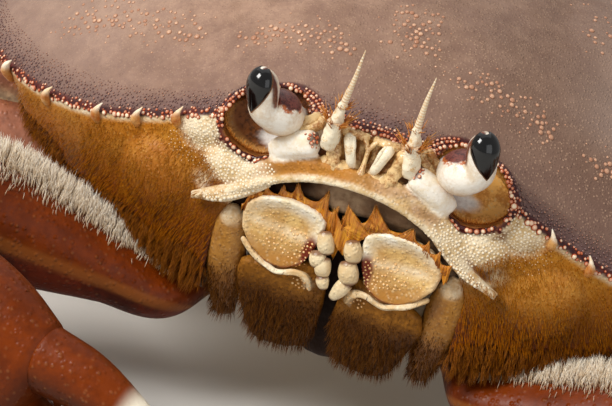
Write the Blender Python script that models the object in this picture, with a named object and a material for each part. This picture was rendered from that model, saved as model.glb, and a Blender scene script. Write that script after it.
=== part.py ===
"""A life-size dungeness crab, still, standing on the floor.

Sizes below are in millimetres and mesh points are multiplied by MM. Points are
written in the crab's own directions: X to its left side, Y backwards, Z up,
counted from the middle tooth of the front edge. FRONT carries them to the floor frame.
"""
import math

import bmesh
import bpy
from mathutils import Matrix, Vector

MM = 0.001
GAP = 0.3                       # clearance between touching pieces
FLOOR_DEPTH = 64.0              # front tooth above the floor
FRONT = Vector((0.0, -47.965, FLOOR_DEPTH))

# Carapace
HALF_WIDTH = 83.0               # at the widest, without the teeth
WIDEST_Y = 61.0
FRONT_REACH = 60.5              # from the widest line forward to the front edge
FRONT_SETBACK = 2.0             # how far the middle of the front lies behind that curve
SETBACK_SPREAD = 15.0
BACK_Y = 111.0
BACK_HALF = 34.0                # half of the straight back edge
MARGIN_DROP = 19.8
MARGIN_SPREAD = 39.5
MARGIN_POWER = 2.4
BACK_MARGIN_Z = -14.0
DOME_Y = 58.0
DOME_Z = 16.5
DOME_POWER = 2.5
BELLY_Z = -28.0
BELLY_RISE = 8.0                # how much higher the belly is at BELLY_SPREAD from the middle
BELLY_SPREAD = 78.0
FACE_HALF = 60.0                # the cheeks are upright out to here
SIDE_HALF = 82.0                # and undercut from here

# Orbits, mouth and front
ORBIT_CENTRE = Vector((17.2, 3.6, -4.3))
ORBIT_RADII = Vector((7.4, 7.0, 6.0))
MOUTH_CENTRE_Z = -27.5
MOUTH_HALF_WIDTH = 21.4
MOUTH_HALF_HEIGHT = 18.2
MOUTH_DEPTH = 13.0
FOSSA_CENTRE = Vector((0.0, 2.2, -3.8))
FOSSA_RADII = Vector((5.2, 2.9, 3.2))

SKIN = {
    "shell_dorsal": ((0.36, 0.25, 0.22), 0.5),
    "shell_belly": ((0.80, 0.66, 0.44), 0.5),
    "claw": ((0.62, 0.36, 0.20), 0.45),
    "leg": ((0.58, 0.36, 0.26), 0.5),
    "mouthpart": ((0.72, 0.52, 0.27), 0.5),
    "feeler": ((0.86, 0.78, 0.60), 0.45),
    "eyestalk": ((0.90, 0.86, 0.78), 0.35),
    "cornea": ((0.02, 0.022, 0.02), 0.08),
}


def clear_scene():
    for old in list(bpy.data.objects):
        bpy.data.objects.remove(old, do_unlink=True)


def new_collection(name):
    collection = bpy.data.collections.new(name)
    bpy.context.scene.collection.children.link(collection)
    return collection


def skin(slot):
    """The material of one slot, made the first time it is asked for."""
    if slot in bpy.data.materials:
        return bpy.data.materials[slot]
    colour, roughness = SKIN[slot]
    material = bpy.data.materials.new(slot)
    material.use_nodes = True
    shader = material.node_tree.nodes["Principled BSDF"]
    shader.inputs["Base Color"].default_value = (*colour, 1.0)
    shader.inputs["Roughness"].default_value = roughness
    shader.inputs["Metallic"].default_value = 0.0
    return material


def shaped_ball(name, columns, rows, place, slot="shell_belly"):
    """A UV sphere with each point put where place(turn, row) says; row runs from pole to pole."""
    shape = bmesh.new()
    bmesh.ops.create_uvsphere(shape, u_segments=columns, v_segments=rows, radius=1.0)
    for point in shape.verts:
        row = round(math.acos(max(-1.0, min(1.0, point.co.z))) / math.pi * rows)
        turn = round(math.atan2(point.co.y, point.co.x) / math.tau * columns) % columns
        point.co = (Vector(place(turn / columns, row)) + FRONT) * MM
    if shape.calc_volume(signed=True) < 0:
        bmesh.ops.reverse_faces(shape, faces=shape.faces)
    mesh = bpy.data.meshes.new(name)
    shape.to_mesh(mesh)
    shape.free()
    mesh.materials.append(skin(slot))
    mesh.shade_smooth()
    made = bpy.data.objects.new(name, mesh)
    CRAB.objects.link(made)
    return made


def ellipsoid(name, centre, radii, columns=16, rows=10, turned=None, slot="shell_belly"):
    centre, radii = Vector(centre), Vector(radii)
    turned = turned or Matrix.Identity(3)

    def place(turn, row):
        down = row / rows * math.pi
        around = turn * math.tau
        unit = Vector((math.sin(down) * math.cos(around), math.sin(down) * math.sin(around), math.cos(down)))
        return centre + turned @ Vector((unit.x * radii.x, unit.y * radii.y, unit.z * radii.z))

    return shaped_ball(name, columns, rows, place, slot)


def section_axes(normal, up):
    """Across and upward directions in the plane of a section."""
    across = normal.cross(up).normalized()
    return across, across.cross(normal).normalized()


def loft(name, sections, sides, slot, up=Vector((0, 0, 1)), squareness=1.0, lower=None):
    """A closed tube through sections of (centre, half across, half up, normal), with flat ends.

    Under 1 the squareness fills the section's corners; lower is that of its lower half.
    """
    last = len(sections) - 1

    def place(turn, row):
        at = min(max(row - 1, 0), last)
        centre, half_across, half_up, normal = sections[at]
        if row == 0 or row == last + 2:
            return centre
        across, upward = section_axes(normal, up)
        around = turn * math.tau
        cosine, sine = math.cos(around), math.sin(around)
        power = squareness if lower is None or sine > 0 else lower
        side = math.copysign(abs(cosine) ** power, cosine)
        rise = math.copysign(abs(sine) ** power, sine)
        return centre + across * half_across * side + upward * half_up * rise

    return shaped_ball(name, sides, last + 2, place, slot)


def path_sections(points, sizes, start_normal=None, end_normal=None):
    """Sections along a chain of points, each facing along the chain."""
    points = [Vector(p) for p in points]
    sections = []
    for i, (point, (across, upward)) in enumerate(zip(points, sizes)):
        normal = (points[min(i + 1, len(points) - 1)] - points[max(i - 1, 0)]).normalized()
        if i == 0 and start_normal is not None:
            normal = start_normal
        if i == len(points) - 1 and end_normal is not None:
            normal = end_normal
        sections.append((point, across, upward, normal))
    return sections


def spike(base, tip, radius, sides=6):
    """A pointed cone from base to tip, to be joined to a node."""
    base, tip = Vector(base), Vector(tip)
    axis = (tip - base).normalized()
    middle = base.lerp(tip, 0.55)
    helper = Vector((0, 0, 1)) if abs(axis.z) < 0.9 else Vector((0, 1, 0))
    sizes = [(radius, radius), (radius * 0.62, radius * 0.62), (0.18, 0.18)]
    return loft("spike", path_sections([base, middle, tip], sizes), sides, "shell_belly", up=helper)


def keep_largest(mesh):
    """Drops every loose surface of a mesh but the one with the most faces."""
    shape = bmesh.new()
    shape.from_mesh(mesh)
    unseen = set(shape.faces)
    groups = []
    while unseen:
        group = {unseen.pop()}
        edge_of_group = list(group)
        while edge_of_group:
            face = edge_of_group.pop()
            near = {f for edge in face.edges for f in edge.link_faces} & unseen
            unseen -= near
            group |= near
            edge_of_group.extend(near)
        groups.append(group)
    groups.sort(key=len)
    scraps = [f for group in groups[:-1] for f in group]
    bmesh.ops.delete(shape, geom=scraps, context="FACES")
    shape.to_mesh(mesh)
    shape.free()


def combine(body, pieces, operation, solver="EXACT"):
    """Joins or cuts body with pieces in one Boolean, applies it and removes the pieces."""
    group = new_collection("pieces")
    for piece in pieces:
        CRAB.objects.unlink(piece)
        group.objects.link(piece)
    boolean = body.modifiers.new("combine", "BOOLEAN")
    boolean.operation = operation
    boolean.solver = solver
    boolean.operand_type = "COLLECTION"
    boolean.collection = group
    graph = bpy.context.evaluated_depsgraph_get()
    result = bpy.data.meshes.new_from_object(body.evaluated_get(graph))
    body.modifiers.remove(boolean)
    keep_largest(result)
    body.data = result
    for piece in pieces:
        bpy.data.objects.remove(piece, do_unlink=True)
    bpy.data.collections.remove(group)


def mirrored(point, side):
    return Vector((point[0] * side, point[1], point[2]))


def ease(value, low, high):
    """0 below low, 1 above high, smooth between."""
    t = min(max((value - low) / (high - low), 0.0), 1.0)
    return t * t * (3 - 2 * t)


def bezier(t, a, b, c, d):
    return a * (1 - t) ** 3 + b * 3 * t * (1 - t) ** 2 + c * 3 * t * t * (1 - t) + d * t ** 3


def margin_z(x):
    return -MARGIN_DROP * (1 - math.exp(-(x / MARGIN_SPREAD) ** MARGIN_POWER))


def front_margin(x):
    """The front and toothed edge at half-breadth x, without its teeth."""
    angle = math.asin(min(x / HALF_WIDTH, 1.0))
    setback = FRONT_SETBACK * math.exp(-(x / SETBACK_SPREAD) ** 2)
    return Vector((x, WIDEST_Y - FRONT_REACH * math.cos(angle) + setback, margin_z(x)))


def margin(share):
    """The edge of the left half, from the front (0) to the middle of the back (1)."""
    corner, back = 0.55, 0.88
    if share < corner:
        angle = share / corner * math.pi / 2
        return front_margin(HALF_WIDTH * math.sin(angle))
    if share < back:
        t = (share - corner) / (back - corner)
        side, rear = Vector((HALF_WIDTH, WIDEST_Y, 0)), Vector((BACK_HALF, BACK_Y - 2, 0))
        flat = bezier(t, side, Vector((78, 78, 0)), Vector((52, 103, 0)), rear)
        z = margin_z(HALF_WIDTH) * (1 - t) + BACK_MARGIN_Z * t
        return Vector((flat.x, flat.y, z))
    t = (share - back) / (1 - back)
    return Vector((BACK_HALF * (1 - t), BACK_Y - 2 * (1 - t) ** 2, BACK_MARGIN_Z))


TOP_ROWS = (0.0, 0.2, 0.38, 0.54, 0.68, 0.8, 0.9, 0.965, 1.0)
SIDE_ROWS = ((0.985, 0.3), (0.955, 0.55), (0.91, 0.75), (0.86, 0.88), (0.78, 0.95), (0.66, 1.0), (0.50, 1.0), (0.26, 1.0), (0.0, 1.0))
CHEEK_ROWS = ((0.995, 0.12), (0.99, 0.30), (0.985, 0.52), (0.98, 0.76), (0.96, 0.94), (0.925, 1.0))
INNER_ROWS = (0.80, 0.30, 0.0)
CHEEK_DEPTHS = ((0.0, -38.5), (22.0, -39.0), (31.0, -37.0), (42.0, -33.5), (53.0, -30.5), (64.0, -28.5), (72.0, -26.0), (80.0, -22.5), (90.0, -20.0))


def cheek_depth(x):
    """How far down the face reaches at half-breadth x."""
    for (near, high), (far, low) in zip(CHEEK_DEPTHS, CHEEK_DEPTHS[1:]):
        if x <= far:
            return high + (low - high) * (x - near) / (far - near)
    return CHEEK_DEPTHS[-1][1]


def belly_z(x):
    return BELLY_Z + BELLY_RISE * (x / BELLY_SPREAD) ** 1.6


def under_point(edge, row):
    """Reach and height of a row under the edge, between the upright cheeks and the undercut sides."""
    reach, fall = SIDE_ROWS[row]
    if edge.y > WIDEST_Y:
        rear = ease(edge.y, WIDEST_Y, BACK_Y)
        reach += (1 - reach) * 0.55 * rear * (1 - fall ** 3)
        return reach, edge.z + (belly_z(edge.x * reach) - edge.z) * fall
    z = edge.z + (belly_z(edge.x * reach) - edge.z) * fall
    upright = 1 - ease(edge.x, FACE_HALF, SIDE_HALF)
    if row < len(CHEEK_ROWS):
        face_reach, face_fall = CHEEK_ROWS[row]
        face_z = edge.z + (cheek_depth(edge.x) - edge.z) * face_fall
    else:
        face_reach = INNER_ROWS[row - len(CHEEK_ROWS)]
        face_z = belly_z(edge.x * face_reach)
    return reach + (face_reach - reach) * upright, z + (face_z - z) * upright


def shell_point(turn, row):
    """Top rows run from the dome to the edge, the rest back under to the belly."""
    share = turn * 2 if turn <= 0.5 else 2 - turn * 2
    side = 1 if turn <= 0.5 else -1
    edge = margin(share)
    top = len(TOP_ROWS) - 1
    if row <= top:
        reach = TOP_ROWS[row]
        z = DOME_Z + (edge.z - DOME_Z) * reach ** DOME_POWER
    else:
        reach, z = under_point(edge, row - top - 1)
    x, y = edge.x * reach, DOME_Y + (edge.y - DOME_Y) * reach
    return Vector((x * side, y, z))


# Teeth of the side edge: half-breadth of each and its length; each stands up from the edge and leans forwards
TOOTH_X = (25.0, 32.0, 39.0, 46.5, 57.0, 67.0, 74.5, 80.0, 83.0)
TOOTH_LENGTH = (2.2, 2.4, 2.5, 2.9, 3.7, 3.8, 4.0, 4.2, 4.4)
TOOTH_RISE = 0.9
LAST_TOOTH_LENGTH = 8.0


def side_tooth(x, length, side):
    base = front_margin(min(x, HALF_WIDTH - 0.2))
    ahead = front_margin(min(x, HALF_WIDTH - 0.2) - 2.0)
    forward = (ahead - base).normalized()
    outward = Vector((-forward.y, forward.x, 0)).normalized()
    if outward.x < 0:
        outward = -outward
    lean = 0.1 + 0.6 * x / HALF_WIDTH
    tip = base + (outward * 0.6 + forward * lean + Vector((0, 0, TOOTH_RISE))).normalized() * length
    root = base - outward * 2.2 - Vector((0, 0, 0.4))
    return spike(mirrored(root, side), mirrored(tip, side), length * 0.6)


def last_tooth(side):
    base = Vector((HALF_WIDTH - 3.5, WIDEST_Y + 0.5, margin_z(HALF_WIDTH) + 0.2))
    tip = base + Vector((LAST_TOOTH_LENGTH, -2.0, 1.2))
    return spike(mirrored(base, side), mirrored(tip, side), 3.4)


FRONT_TEETH = ((0.0, 2.6), (3.2, 2.4), (9.8, 2.6))   # half-breadth and length of the front's teeth


def front_teeth():
    teeth = []
    for x, length in FRONT_TEETH:
        for side in ((1,) if x == 0 else (1, -1)):
            base = front_margin(x)
            root = Vector((x * side, base.y + 1.6, base.z - 1.2))
            tip = Vector((x * side, base.y - length, base.z - 0.2))
            teeth.append(spike(root, tip, 1.7))
    return teeth


# Half of the arch over the mouth, from the middle out to the tip of the cheek's ridge
ARCH = ((0.0, -0.6, -7.9), (7.0, -0.1, -9.0), (13.0, 0.7, -11.8), (17.6, 1.6, -15.0), (21.5, 2.3, -17.9), (25.6, 3.0, -20.3))
ARCH_SIZES = ((2.3, 1.5), (2.3, 1.5), (2.2, 1.5), (2.1, 1.4), (1.9, 1.2), (1.2, 0.5))


def mouth_arch():
    """The raised rim over the mouth, running out into a ridge on each cheek."""
    half = list(zip(ARCH, ARCH_SIZES))
    whole = [(mirrored(p, -1), size) for p, size in reversed(half[1:])] + [(Vector(p), size) for p, size in half]
    points, sizes = zip(*whole)
    return loft("arch", path_sections(points, sizes), 8, "shell_belly", up=Vector((0, 0, 1)))


def antenna_seat(side):
    """The fixed first joint of the antenna, a blunt block beside the orbit."""
    points = [Vector((15.0, 3.2, -9.6)), Vector((12.5, 1.4, -8.0)), Vector((10.2, 0.6, -6.2)), Vector((8.6, 0.6, -4.9))]
    sizes = [(1.6, 1.6), (2.5, 2.3), (2.5, 2.2), (1.6, 1.4)]
    return loft("seat", path_sections([mirrored(p, side) for p in points], sizes), 8, "shell_belly")


def carapace():
    rows = len(TOP_ROWS) + len(SIDE_ROWS) - 1
    shell = shaped_ball("carapace", 72, rows, shell_point, "shell_dorsal")
    added = front_teeth() + [mouth_arch()]
    for side in (1, -1):
        added += [side_tooth(x, length, side) for x, length in zip(TOOTH_X, TOOTH_LENGTH)]
        added += [last_tooth(side), antenna_seat(side)]
    combine(shell, added, "UNION", "MANIFOLD")
    cutters = [ellipsoid("fossa", FOSSA_CENTRE, FOSSA_RADII, 14, 8)]
    for side in (1, -1):
        cutters.append(ellipsoid("orbit", mirrored(ORBIT_CENTRE, side), ORBIT_RADII, 16, 10))
    mouth = [(Vector((0, y, MOUTH_CENTRE_Z)), MOUTH_HALF_WIDTH - shrink, MOUTH_HALF_HEIGHT - shrink, Vector((0, 1, 0)))
             for y, shrink in ((-8, 0.0), (8, 0.0), (MOUTH_DEPTH, 2.0))]
    cutters.append(loft("mouth", mouth, 28, "shell_belly", lower=0.35))
    combine(shell, cutters, "DIFFERENCE", "MANIFOLD")
    return shell


# Eyes: each leans its own way, as in the photo
STALK_ROOT = Vector((13.0, 3.2, -2.4))
STALK_MIDDLE = Vector((15.6, -0.4, -1.2))
CORNEA_HALF = 3.4
CORNEA_CENTRES = {1: Vector((18.0, -3.2, 3.9)), -1: Vector((-18.8, -3.2, 4.2))}
EYE_LEANS = {1: Vector((-0.16, -0.28, 0.95)), -1: Vector((-0.42, -0.28, 0.87))}


def eye(side, name):
    lean = EYE_LEANS[side].normalized()
    centre = CORNEA_CENTRES[side]
    base, tip = centre - lean * CORNEA_HALF, centre + lean * CORNEA_HALF
    end = base - lean * GAP * 1.5
    root, middle = mirrored(STALK_ROOT, side), mirrored(STALK_MIDDLE, side)
    points = [root, root.lerp(middle, 0.5), middle, middle.lerp(end, 0.42), end]
    sizes = [(2.2, 2.2), (3.2, 3.2), (3.7, 3.6), (3.2, 3.2), (2.1, 2.2)]
    stalk = path_sections(points, sizes, end_normal=lean)
    loft("eyestalk_" + name, stalk, 12, "eyestalk", up=Vector((0, -1, 0.2)))
    rise = (0.0, 0.22, 0.48, 0.72, 0.9, 1.0)
    girth = (2.35, 2.75, 2.75, 2.2, 1.3, 0.25)
    dome = [(base.lerp(tip, r), g * 0.9, g, lean) for r, g in zip(rise, girth)]
    loft("cornea_" + name, dome, 12, "cornea", up=Vector((0, -1, 0.2)))


# Antennae: each stands its own way; half-breadth, depth and height of the joints of its stem
ANTENNA = {
    1: ((7.6, 0.7, -3.9), (7.45, -0.6, -1.9), (7.3, -1.8, 0.9), (7.2, -1.9, 1.3), (6.9, -2.4, 4.4), (6.9, -2.5, 4.8), (7.2, -3.2, 10.0),
        (7.75, -4.0, 14.6)),
    -1: ((-7.2, 0.7, -3.9), (-6.8, -0.6, -1.9), (-6.1, -1.8, 0.9), (-5.95, -1.9, 1.3), (-5.3, -2.4, 4.4), (-5.2, -2.5, 4.8),
         (-4.6, -3.2, 10.0), (-4.1, -4.0, 15.0)),
}
ANTENNA_GIRTH = (1.5, 1.85, 1.8, 1.25, 1.05, 0.75, 0.5, 0.22)


def feelers(side, name):
    stem = path_sections(ANTENNA[side], [(g, g) for g in ANTENNA_GIRTH])
    loft("antenna_" + name, stem, 8, "feeler", up=Vector((0, -1, 0.1)))
    stub = [(3.4, 1.0, -1.9), (3.0, 0.2, -3.0), (2.1, -0.2, -4.4), (1.7, -0.3, -5.3)]
    thick = [0.55, 0.8, 0.8, 0.6]
    points = [mirrored(p, side) for p in stub]
    loft("antennule_" + name, path_sections(points, [(g, g) for g in thick]), 8, "feeler", up=Vector((0, -1, 0.1)))


def mouthparts(side, name):
    """The outer jaw foot: basal plate, upper plate, its folded palp, and the outer branch."""
    def plate(node, points, sizes, sides=10, squareness=0.8):
        sections = path_sections([mirrored(p, side) for p in points], sizes)
        loft(node + name, sections, sides, "mouthpart", up=Vector((0, -1, 0)), squareness=squareness)

    plate("maxilliped_merus_", [(9.6, 3.2, -27.3), (9.8, 2.4, -26.4), (10.2, 1.6, -21.6), (10.4, 1.4, -17.2), (10.6, 1.8, -15.6)],
          [(3.2, 1.2), (5.0, 1.7), (6.3, 1.9), (5.2, 1.7), (2.6, 1.0)])
    plate("maxilliped_ischium_", [(7.6, 9.2, -43.0), (8.4, 6.8, -37.5), (9.0, 4.4, -31.2), (9.4, 3.7, -28.15)],
          [(3.6, 1.6), (5.2, 2.1), (5.6, 2.0), (5.2, 1.5)])
    plate("maxilliped_palp_", [(1.9, 2.2, -27.6), (2.25, 1.2, -24.4), (2.35, 1.0, -21.0), (2.4, 1.3, -17.6)],
          [(0.9, 0.8), (1.35, 1.3), (1.35, 1.3), (0.8, 0.7)], 8)
    plate("maxilliped_exopod_", [(17.0, 9.4, -42.0), (17.6, 6.6, -34.0), (18.1, 5.0, -26.0), (18.1, 4.6, -22.0), (18.0, 4.6, -20.6)],
          [(1.5, 1.4), (2.0, 1.7), (2.1, 1.6), (1.7, 1.3), (0.8, 0.7)], 8)


# Breastplate and folded tail
STERNUM_TOP = BELLY_Z - GAP
STERNUM_BOTTOM = -43.0


def sternum():
    stations = ((15.0, 11.0), (22.0, 17.5), (27.5, 18.9), (32.0, 20.6), (42.0, 21.7), (55.0, 22.2), (59.0, 21.2),
                (67.0, 20.4), (71.5, 17.0), (79.0, 14.5), (86.0, 9.0))
    middle = (STERNUM_TOP + STERNUM_BOTTOM) / 2
    half = (STERNUM_TOP - STERNUM_BOTTOM) / 2
    sections = [(Vector((0, y, middle)), breadth, half, Vector((0, 1, 0))) for y, breadth in stations]
    loft("sternum", sections, 16, "shell_belly", squareness=0.55)


def tail():
    path = ((113.6, -15.2), (112.4, -22.0), (109.4, -30.0), (104.0, -38.0), (95.5, -43.6), (82.0, -45.2), (68.0, -45.0),
            (54.0, -44.9), (42.0, -44.8), (37.0, -44.8))
    breadth = (17.0, 17.5, 17.0, 15.5, 13.0, 10.5, 9.0, 7.8, 5.0, 1.2)
    points = [Vector((0, y, z)) for y, z in path]
    thick = [1.4] * (len(path) - 1) + [1.0]
    sections = path_sections(points, [(t, b) for t, b in zip(thick, breadth)])
    loft("abdomen", sections, 16, "shell_belly", up=Vector((1, 0, 0)), squareness=0.7)


# Walking legs, front to back: root, knee, wrist, ankle and toe of the left ones
LEGS = (
    ((22.0, 37.5, -36.0), (80.0, 27.0, -35.0), (99.0, 16.0, -30.0), (121.0, 5.0, -39.0), (141.0, -7.0)),
    ((22.6, 51.0, -36.0), (88.0, 47.5, -30.0), (109.0, 43.5, -25.5), (134.0, 40.0, -36.0), (157.0, 36.0)),
    ((21.6, 64.0, -36.0), (85.0, 74.0, -30.5), (105.0, 80.0, -26.5), (129.0, 88.0, -37.0), (151.0, 95.5)),
    ((17.4, 76.0, -36.0), (65.0, 98.0, -32.0), (81.0, 110.0, -30.0), (99.0, 123.5, -40.0), (114.0, 135.0)),
)
LEG_GIRTH = (1.0, 1.02, 0.98, 0.86)
MERUS_SIZES = ((4.0, 4.6), (4.8, 5.0), (5.6, 5.9), (6.0, 6.4), (5.6, 6.2), (4.2, 4.8))
MERUS_SHARES = (0.0, 0.16, 0.3, 0.55, 0.85, 1.0)
CARPUS_SIZES = ((3.9, 4.4), (5.2, 5.8), (5.4, 6.0), (4.5, 5.2))
PROPODUS_SIZES = ((3.7, 4.6), (4.4, 5.6), (4.1, 5.2), (3.1, 3.9))
SHORT_SHARES = (0.0, 0.3, 0.7, 1.0)
DACTYL_SIZES = ((2.7, 3.6), (2.7, 3.3), (2.1, 2.5), (1.3, 1.5), (0.9, 0.9))
DACTYL_SHARES = (0.0, 0.25, 0.55, 0.85, 1.0)


def limb(name, start, end, start_normal, end_normal, shares, sizes, girth, slot, arch=0.0, sides=10):
    """One straight or slightly arched segment between two joint planes."""
    axis = (end - start).normalized()
    across, upward = section_axes(axis, Vector((0, 0, 1)))
    begin = start + start_normal * GAP / 2
    finish = end - end_normal * GAP / 2
    sections = []
    for share, (half_across, half_up) in zip(shares, sizes):
        centre = begin.lerp(finish, share) + upward * arch * math.sin(share * math.pi)
        normal = (start_normal * (1 - share) ** 3 + axis * 3 * share * (1 - share) + end_normal * share ** 3).normalized()
        sections.append((centre, half_across * girth, half_up * girth, normal))
    return loft(name, sections, sides, slot)


def walking_leg(number, side, name):
    root, knee, wrist, ankle, toe = LEGS[number]
    toe = (toe[0], toe[1], -FLOOR_DEPTH)
    joints = [mirrored(p, side) for p in (root, knee, wrist, ankle, toe)]
    girth = LEG_GIRTH[number]
    along = [(b - a).normalized() for a, b in zip(joints, joints[1:])]
    outward = Vector((side, 0, 0))
    planes = [outward] + [(a + b).normalized() for a, b in zip(along, along[1:])] + [Vector((0, 0, -1))]
    tag = f"{name}{number + 1}"
    limb("leg_merus_" + tag, joints[0], joints[1], planes[0], planes[1], MERUS_SHARES, MERUS_SIZES, girth, "leg", 1.0)
    limb("leg_carpus_" + tag, joints[1], joints[2], planes[1], planes[2], SHORT_SHARES, CARPUS_SIZES, girth, "leg", 0.6)
    limb("leg_propodus_" + tag, joints[2], joints[3], planes[2], planes[3], SHORT_SHARES, PROPODUS_SIZES, girth, "leg", 0.4)
    toe_end = joints[4] + Vector((0, 0, -GAP / 2))
    dactyl_end = Vector((toe_end.x, toe_end.y, -FLOOR_DEPTH - GAP / 2))
    limb("leg_dactylus_" + tag, joints[3], dactyl_end, planes[3], planes[4], DACTYL_SHARES, DACTYL_SIZES, girth, "leg", 1.6)


# Claw-bearing limb, left side
ARM_ROOT = Vector((19.4, 22.0, -38.0))
ARM_BEND = Vector((28.0, 10.5, -43.3))
ELBOW = Vector((68.0, 0.0, -35.0))
WRIST = Vector((73.0, -20.0, -40.0))
PALM_END = Vector((37.0, -32.0, -44.5))
CLAW_TIP = Vector((5.0, -37.5, -51.0))


def arm(side, name):
    def at(point):
        return mirrored(point, side)

    root, bend, elbow, wrist = at(ARM_ROOT), at(ARM_BEND), at(ELBOW), at(WRIST)
    upper, fore = (elbow - bend).normalized(), (wrist - elbow).normalized()
    hand = (at(PALM_END) - wrist).normalized()
    elbow_plane = (upper + fore).normalized()
    wrist_plane = (fore + hand).normalized()
    outward = Vector((side, 0, 0))
    stations = [root + outward * GAP / 2, root.lerp(bend, 0.55)] + [bend.lerp(elbow, share) for share in (0.0, 0.25, 0.55, 0.82)]
    stations.append(elbow - elbow_plane * GAP / 2)
    sizes = [(3.8, 3.9), (4.2, 4.0), (4.6, 4.2), (5.6, 5.8), (6.6, 8.6), (7.2, 10.0), (6.0, 8.4)]
    loft("cheliped_merus_" + name, path_sections(stations, sizes, outward, elbow_plane), 12, "claw")
    carpus = limb("cheliped_carpus_" + name, elbow, wrist, elbow_plane, wrist_plane,
                  (0.0, 0.25, 0.55, 0.85, 1.0), ((6.0, 8.2), (8.8, 11.2), (9.4, 12.0), (7.4, 10.4), (5.6, 8.2)), 1.0, "claw", sides=12)
    crown, crest = elbow.lerp(wrist, 0.7), elbow.lerp(wrist, 0.4)
    spines = [spike(crown + Vector((0, 0, 9.5)), crown + Vector((-side * 2.0, -4.0, 14.5)), 2.2),
              spike(crest + Vector((-side * 6.5, -2.0, 3.0)), crest + Vector((-side * 13.5, -7.0, 4.5)), 2.4)]
    combine(carpus, spines, "UNION")
    claw(side, name, wrist, at(PALM_END), at(CLAW_TIP), hand, wrist_plane)


def claw(side, name, wrist, palm_end, tip, hand, wrist_plane):
    """Palm with its fixed finger, and the moving finger hinged above it, nearly shut."""
    across, upward = section_axes(hand, Vector((0, 0, 1)))
    start = wrist + wrist_plane * GAP / 2
    step = palm_end - wrist
    reach = tip - palm_end
    point_down = reach.normalized()
    fixed = [
        (start, 5.4, 7.0, wrist_plane),
        (wrist + step * 0.27 + upward * 1.0, 8.2, 11.3, hand),
        (wrist + step * 0.5 + upward * 1.0, 9.4, 13.6, hand),
        (wrist + step * 0.8 + upward * 0.6, 8.6, 13.2, hand),
        (palm_end + upward * 0.2, 7.0, 12.0, hand),
        (palm_end + hand * 0.8 - upward * 6.4, 5.2, 5.4, hand),
        (palm_end + reach * 0.35 - upward * 5.2, 4.2, 4.4, point_down),
        (palm_end + reach * 0.7 - upward * 3.0, 3.0, 3.2, point_down),
        (tip - upward * 0.9, 0.7, 0.8, point_down),
    ]
    palm = loft("cheliped_palm_" + name, fixed, 14, "claw")
    knobs = []
    for share, size in ((0.3, 1.3), (0.45, 1.2), (0.6, 1.0), (0.74, 0.9)):
        foot = palm_end + reach * share - upward * (5.6 - 3.6 * share)
        knobs.append(spike(foot, foot + upward * (4.6 - 3.0 * share), size, 5))
    for share in (0.2, 0.42, 0.64, 0.86):
        crest = wrist + step * share + upward * (11.0 - abs(share - 0.5) * 3)
        knobs.append(spike(crest, crest + upward * 4.6 + hand * 1.2, 1.7))
    combine(palm, knobs, "UNION")
    hinge = palm_end + hand * (GAP + 0.9)
    moving = [
        (hinge + upward * 5.9, 4.8, 5.6, hand),
        (hinge + reach * 0.22 + upward * 6.6, 4.4, 5.0, hand),
        (hinge + reach * 0.52 + upward * 5.4, 3.3, 3.6, point_down),
        (hinge + reach * 0.8 + upward * 3.4, 2.2, 2.3, point_down),
        (hinge + reach * 0.97 + upward * 1.5, 0.7, 0.8, point_down),
    ]
    loft("cheliped_finger_" + name, moving, 12, "claw")


def build():
    carapace()
    sternum()
    tail()
    for side, name in ((1, "l"), (-1, "r")):
        eye(side, name)
        feelers(side, name)
        mouthparts(side, name)
        arm(side, name)
        for number in range(len(LEGS)):
            walking_leg(number, side, name)


clear_scene()
CRAB = new_collection("dungeness_crab")
build()
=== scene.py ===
"""Looks of a life-size dungeness crab: shell, face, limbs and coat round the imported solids.

Points are written in the crab's own directions, in millimetres: X to its left side,
Y backwards, Z up, from the middle tooth of the front edge. world() carries them to the floor frame.
"""

import math

import bmesh
import bpy
import numpy as np
from mathutils import Matrix, Vector, noise
from mathutils.bvhtree import BVHTree

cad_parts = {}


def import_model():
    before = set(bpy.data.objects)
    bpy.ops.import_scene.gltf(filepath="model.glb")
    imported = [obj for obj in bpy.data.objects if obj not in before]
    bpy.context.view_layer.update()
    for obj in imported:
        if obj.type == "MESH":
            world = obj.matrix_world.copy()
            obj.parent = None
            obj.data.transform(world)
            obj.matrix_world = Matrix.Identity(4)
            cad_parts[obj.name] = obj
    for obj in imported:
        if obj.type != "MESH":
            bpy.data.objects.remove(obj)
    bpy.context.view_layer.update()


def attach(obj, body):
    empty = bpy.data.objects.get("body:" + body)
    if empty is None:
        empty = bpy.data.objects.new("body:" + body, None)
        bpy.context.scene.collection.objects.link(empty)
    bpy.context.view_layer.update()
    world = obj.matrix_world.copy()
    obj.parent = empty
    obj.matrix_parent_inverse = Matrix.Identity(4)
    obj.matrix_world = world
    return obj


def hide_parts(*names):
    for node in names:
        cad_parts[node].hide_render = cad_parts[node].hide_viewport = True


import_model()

MM = 0.001
FRONT = np.array((0, -47.965, 64))     # the middle front tooth in the floor frame
SIDES = ((1, "l"), (-1, "r"))
CAP_WIDTHS, CAP_REACH = np.array((0, 0.5, 0.86)), np.array((1, 0.87, 0.5))   # a tube's rounded ends
FACING = (0, -1, 0.1)                  # the way that the face's small parts face

# ---------------------------------------------------------------- modelling helpers


def world(points):
    return (np.asarray(points, float) + FRONT) * MM


def raw_points(made):
    flat = np.zeros(len(made.data.vertices) * 3)
    made.data.vertices.foreach_get("co", flat)
    return flat.reshape(-1, 3)


def crab_points(made):
    """The vertices of a piece, back in the crab's own millimetres."""
    return raw_points(made) / MM - FRONT


def fold(points):
    """The right half's points, carried over to the left half."""
    return np.abs(points) * (1, 0, 0) + points * (0, 1, 1)


def put_points(made, points):
    made.data.vertices.foreach_set("co", world(points).ravel())
    made.data.update()


def deselect():
    if bpy.context.object and bpy.context.object.mode != "OBJECT":
        bpy.ops.object.mode_set(mode="OBJECT")
    bpy.ops.object.select_all(action="DESELECT")


def pick(made):
    deselect()
    made.select_set(True)
    bpy.context.view_layer.objects.active = made


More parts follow.
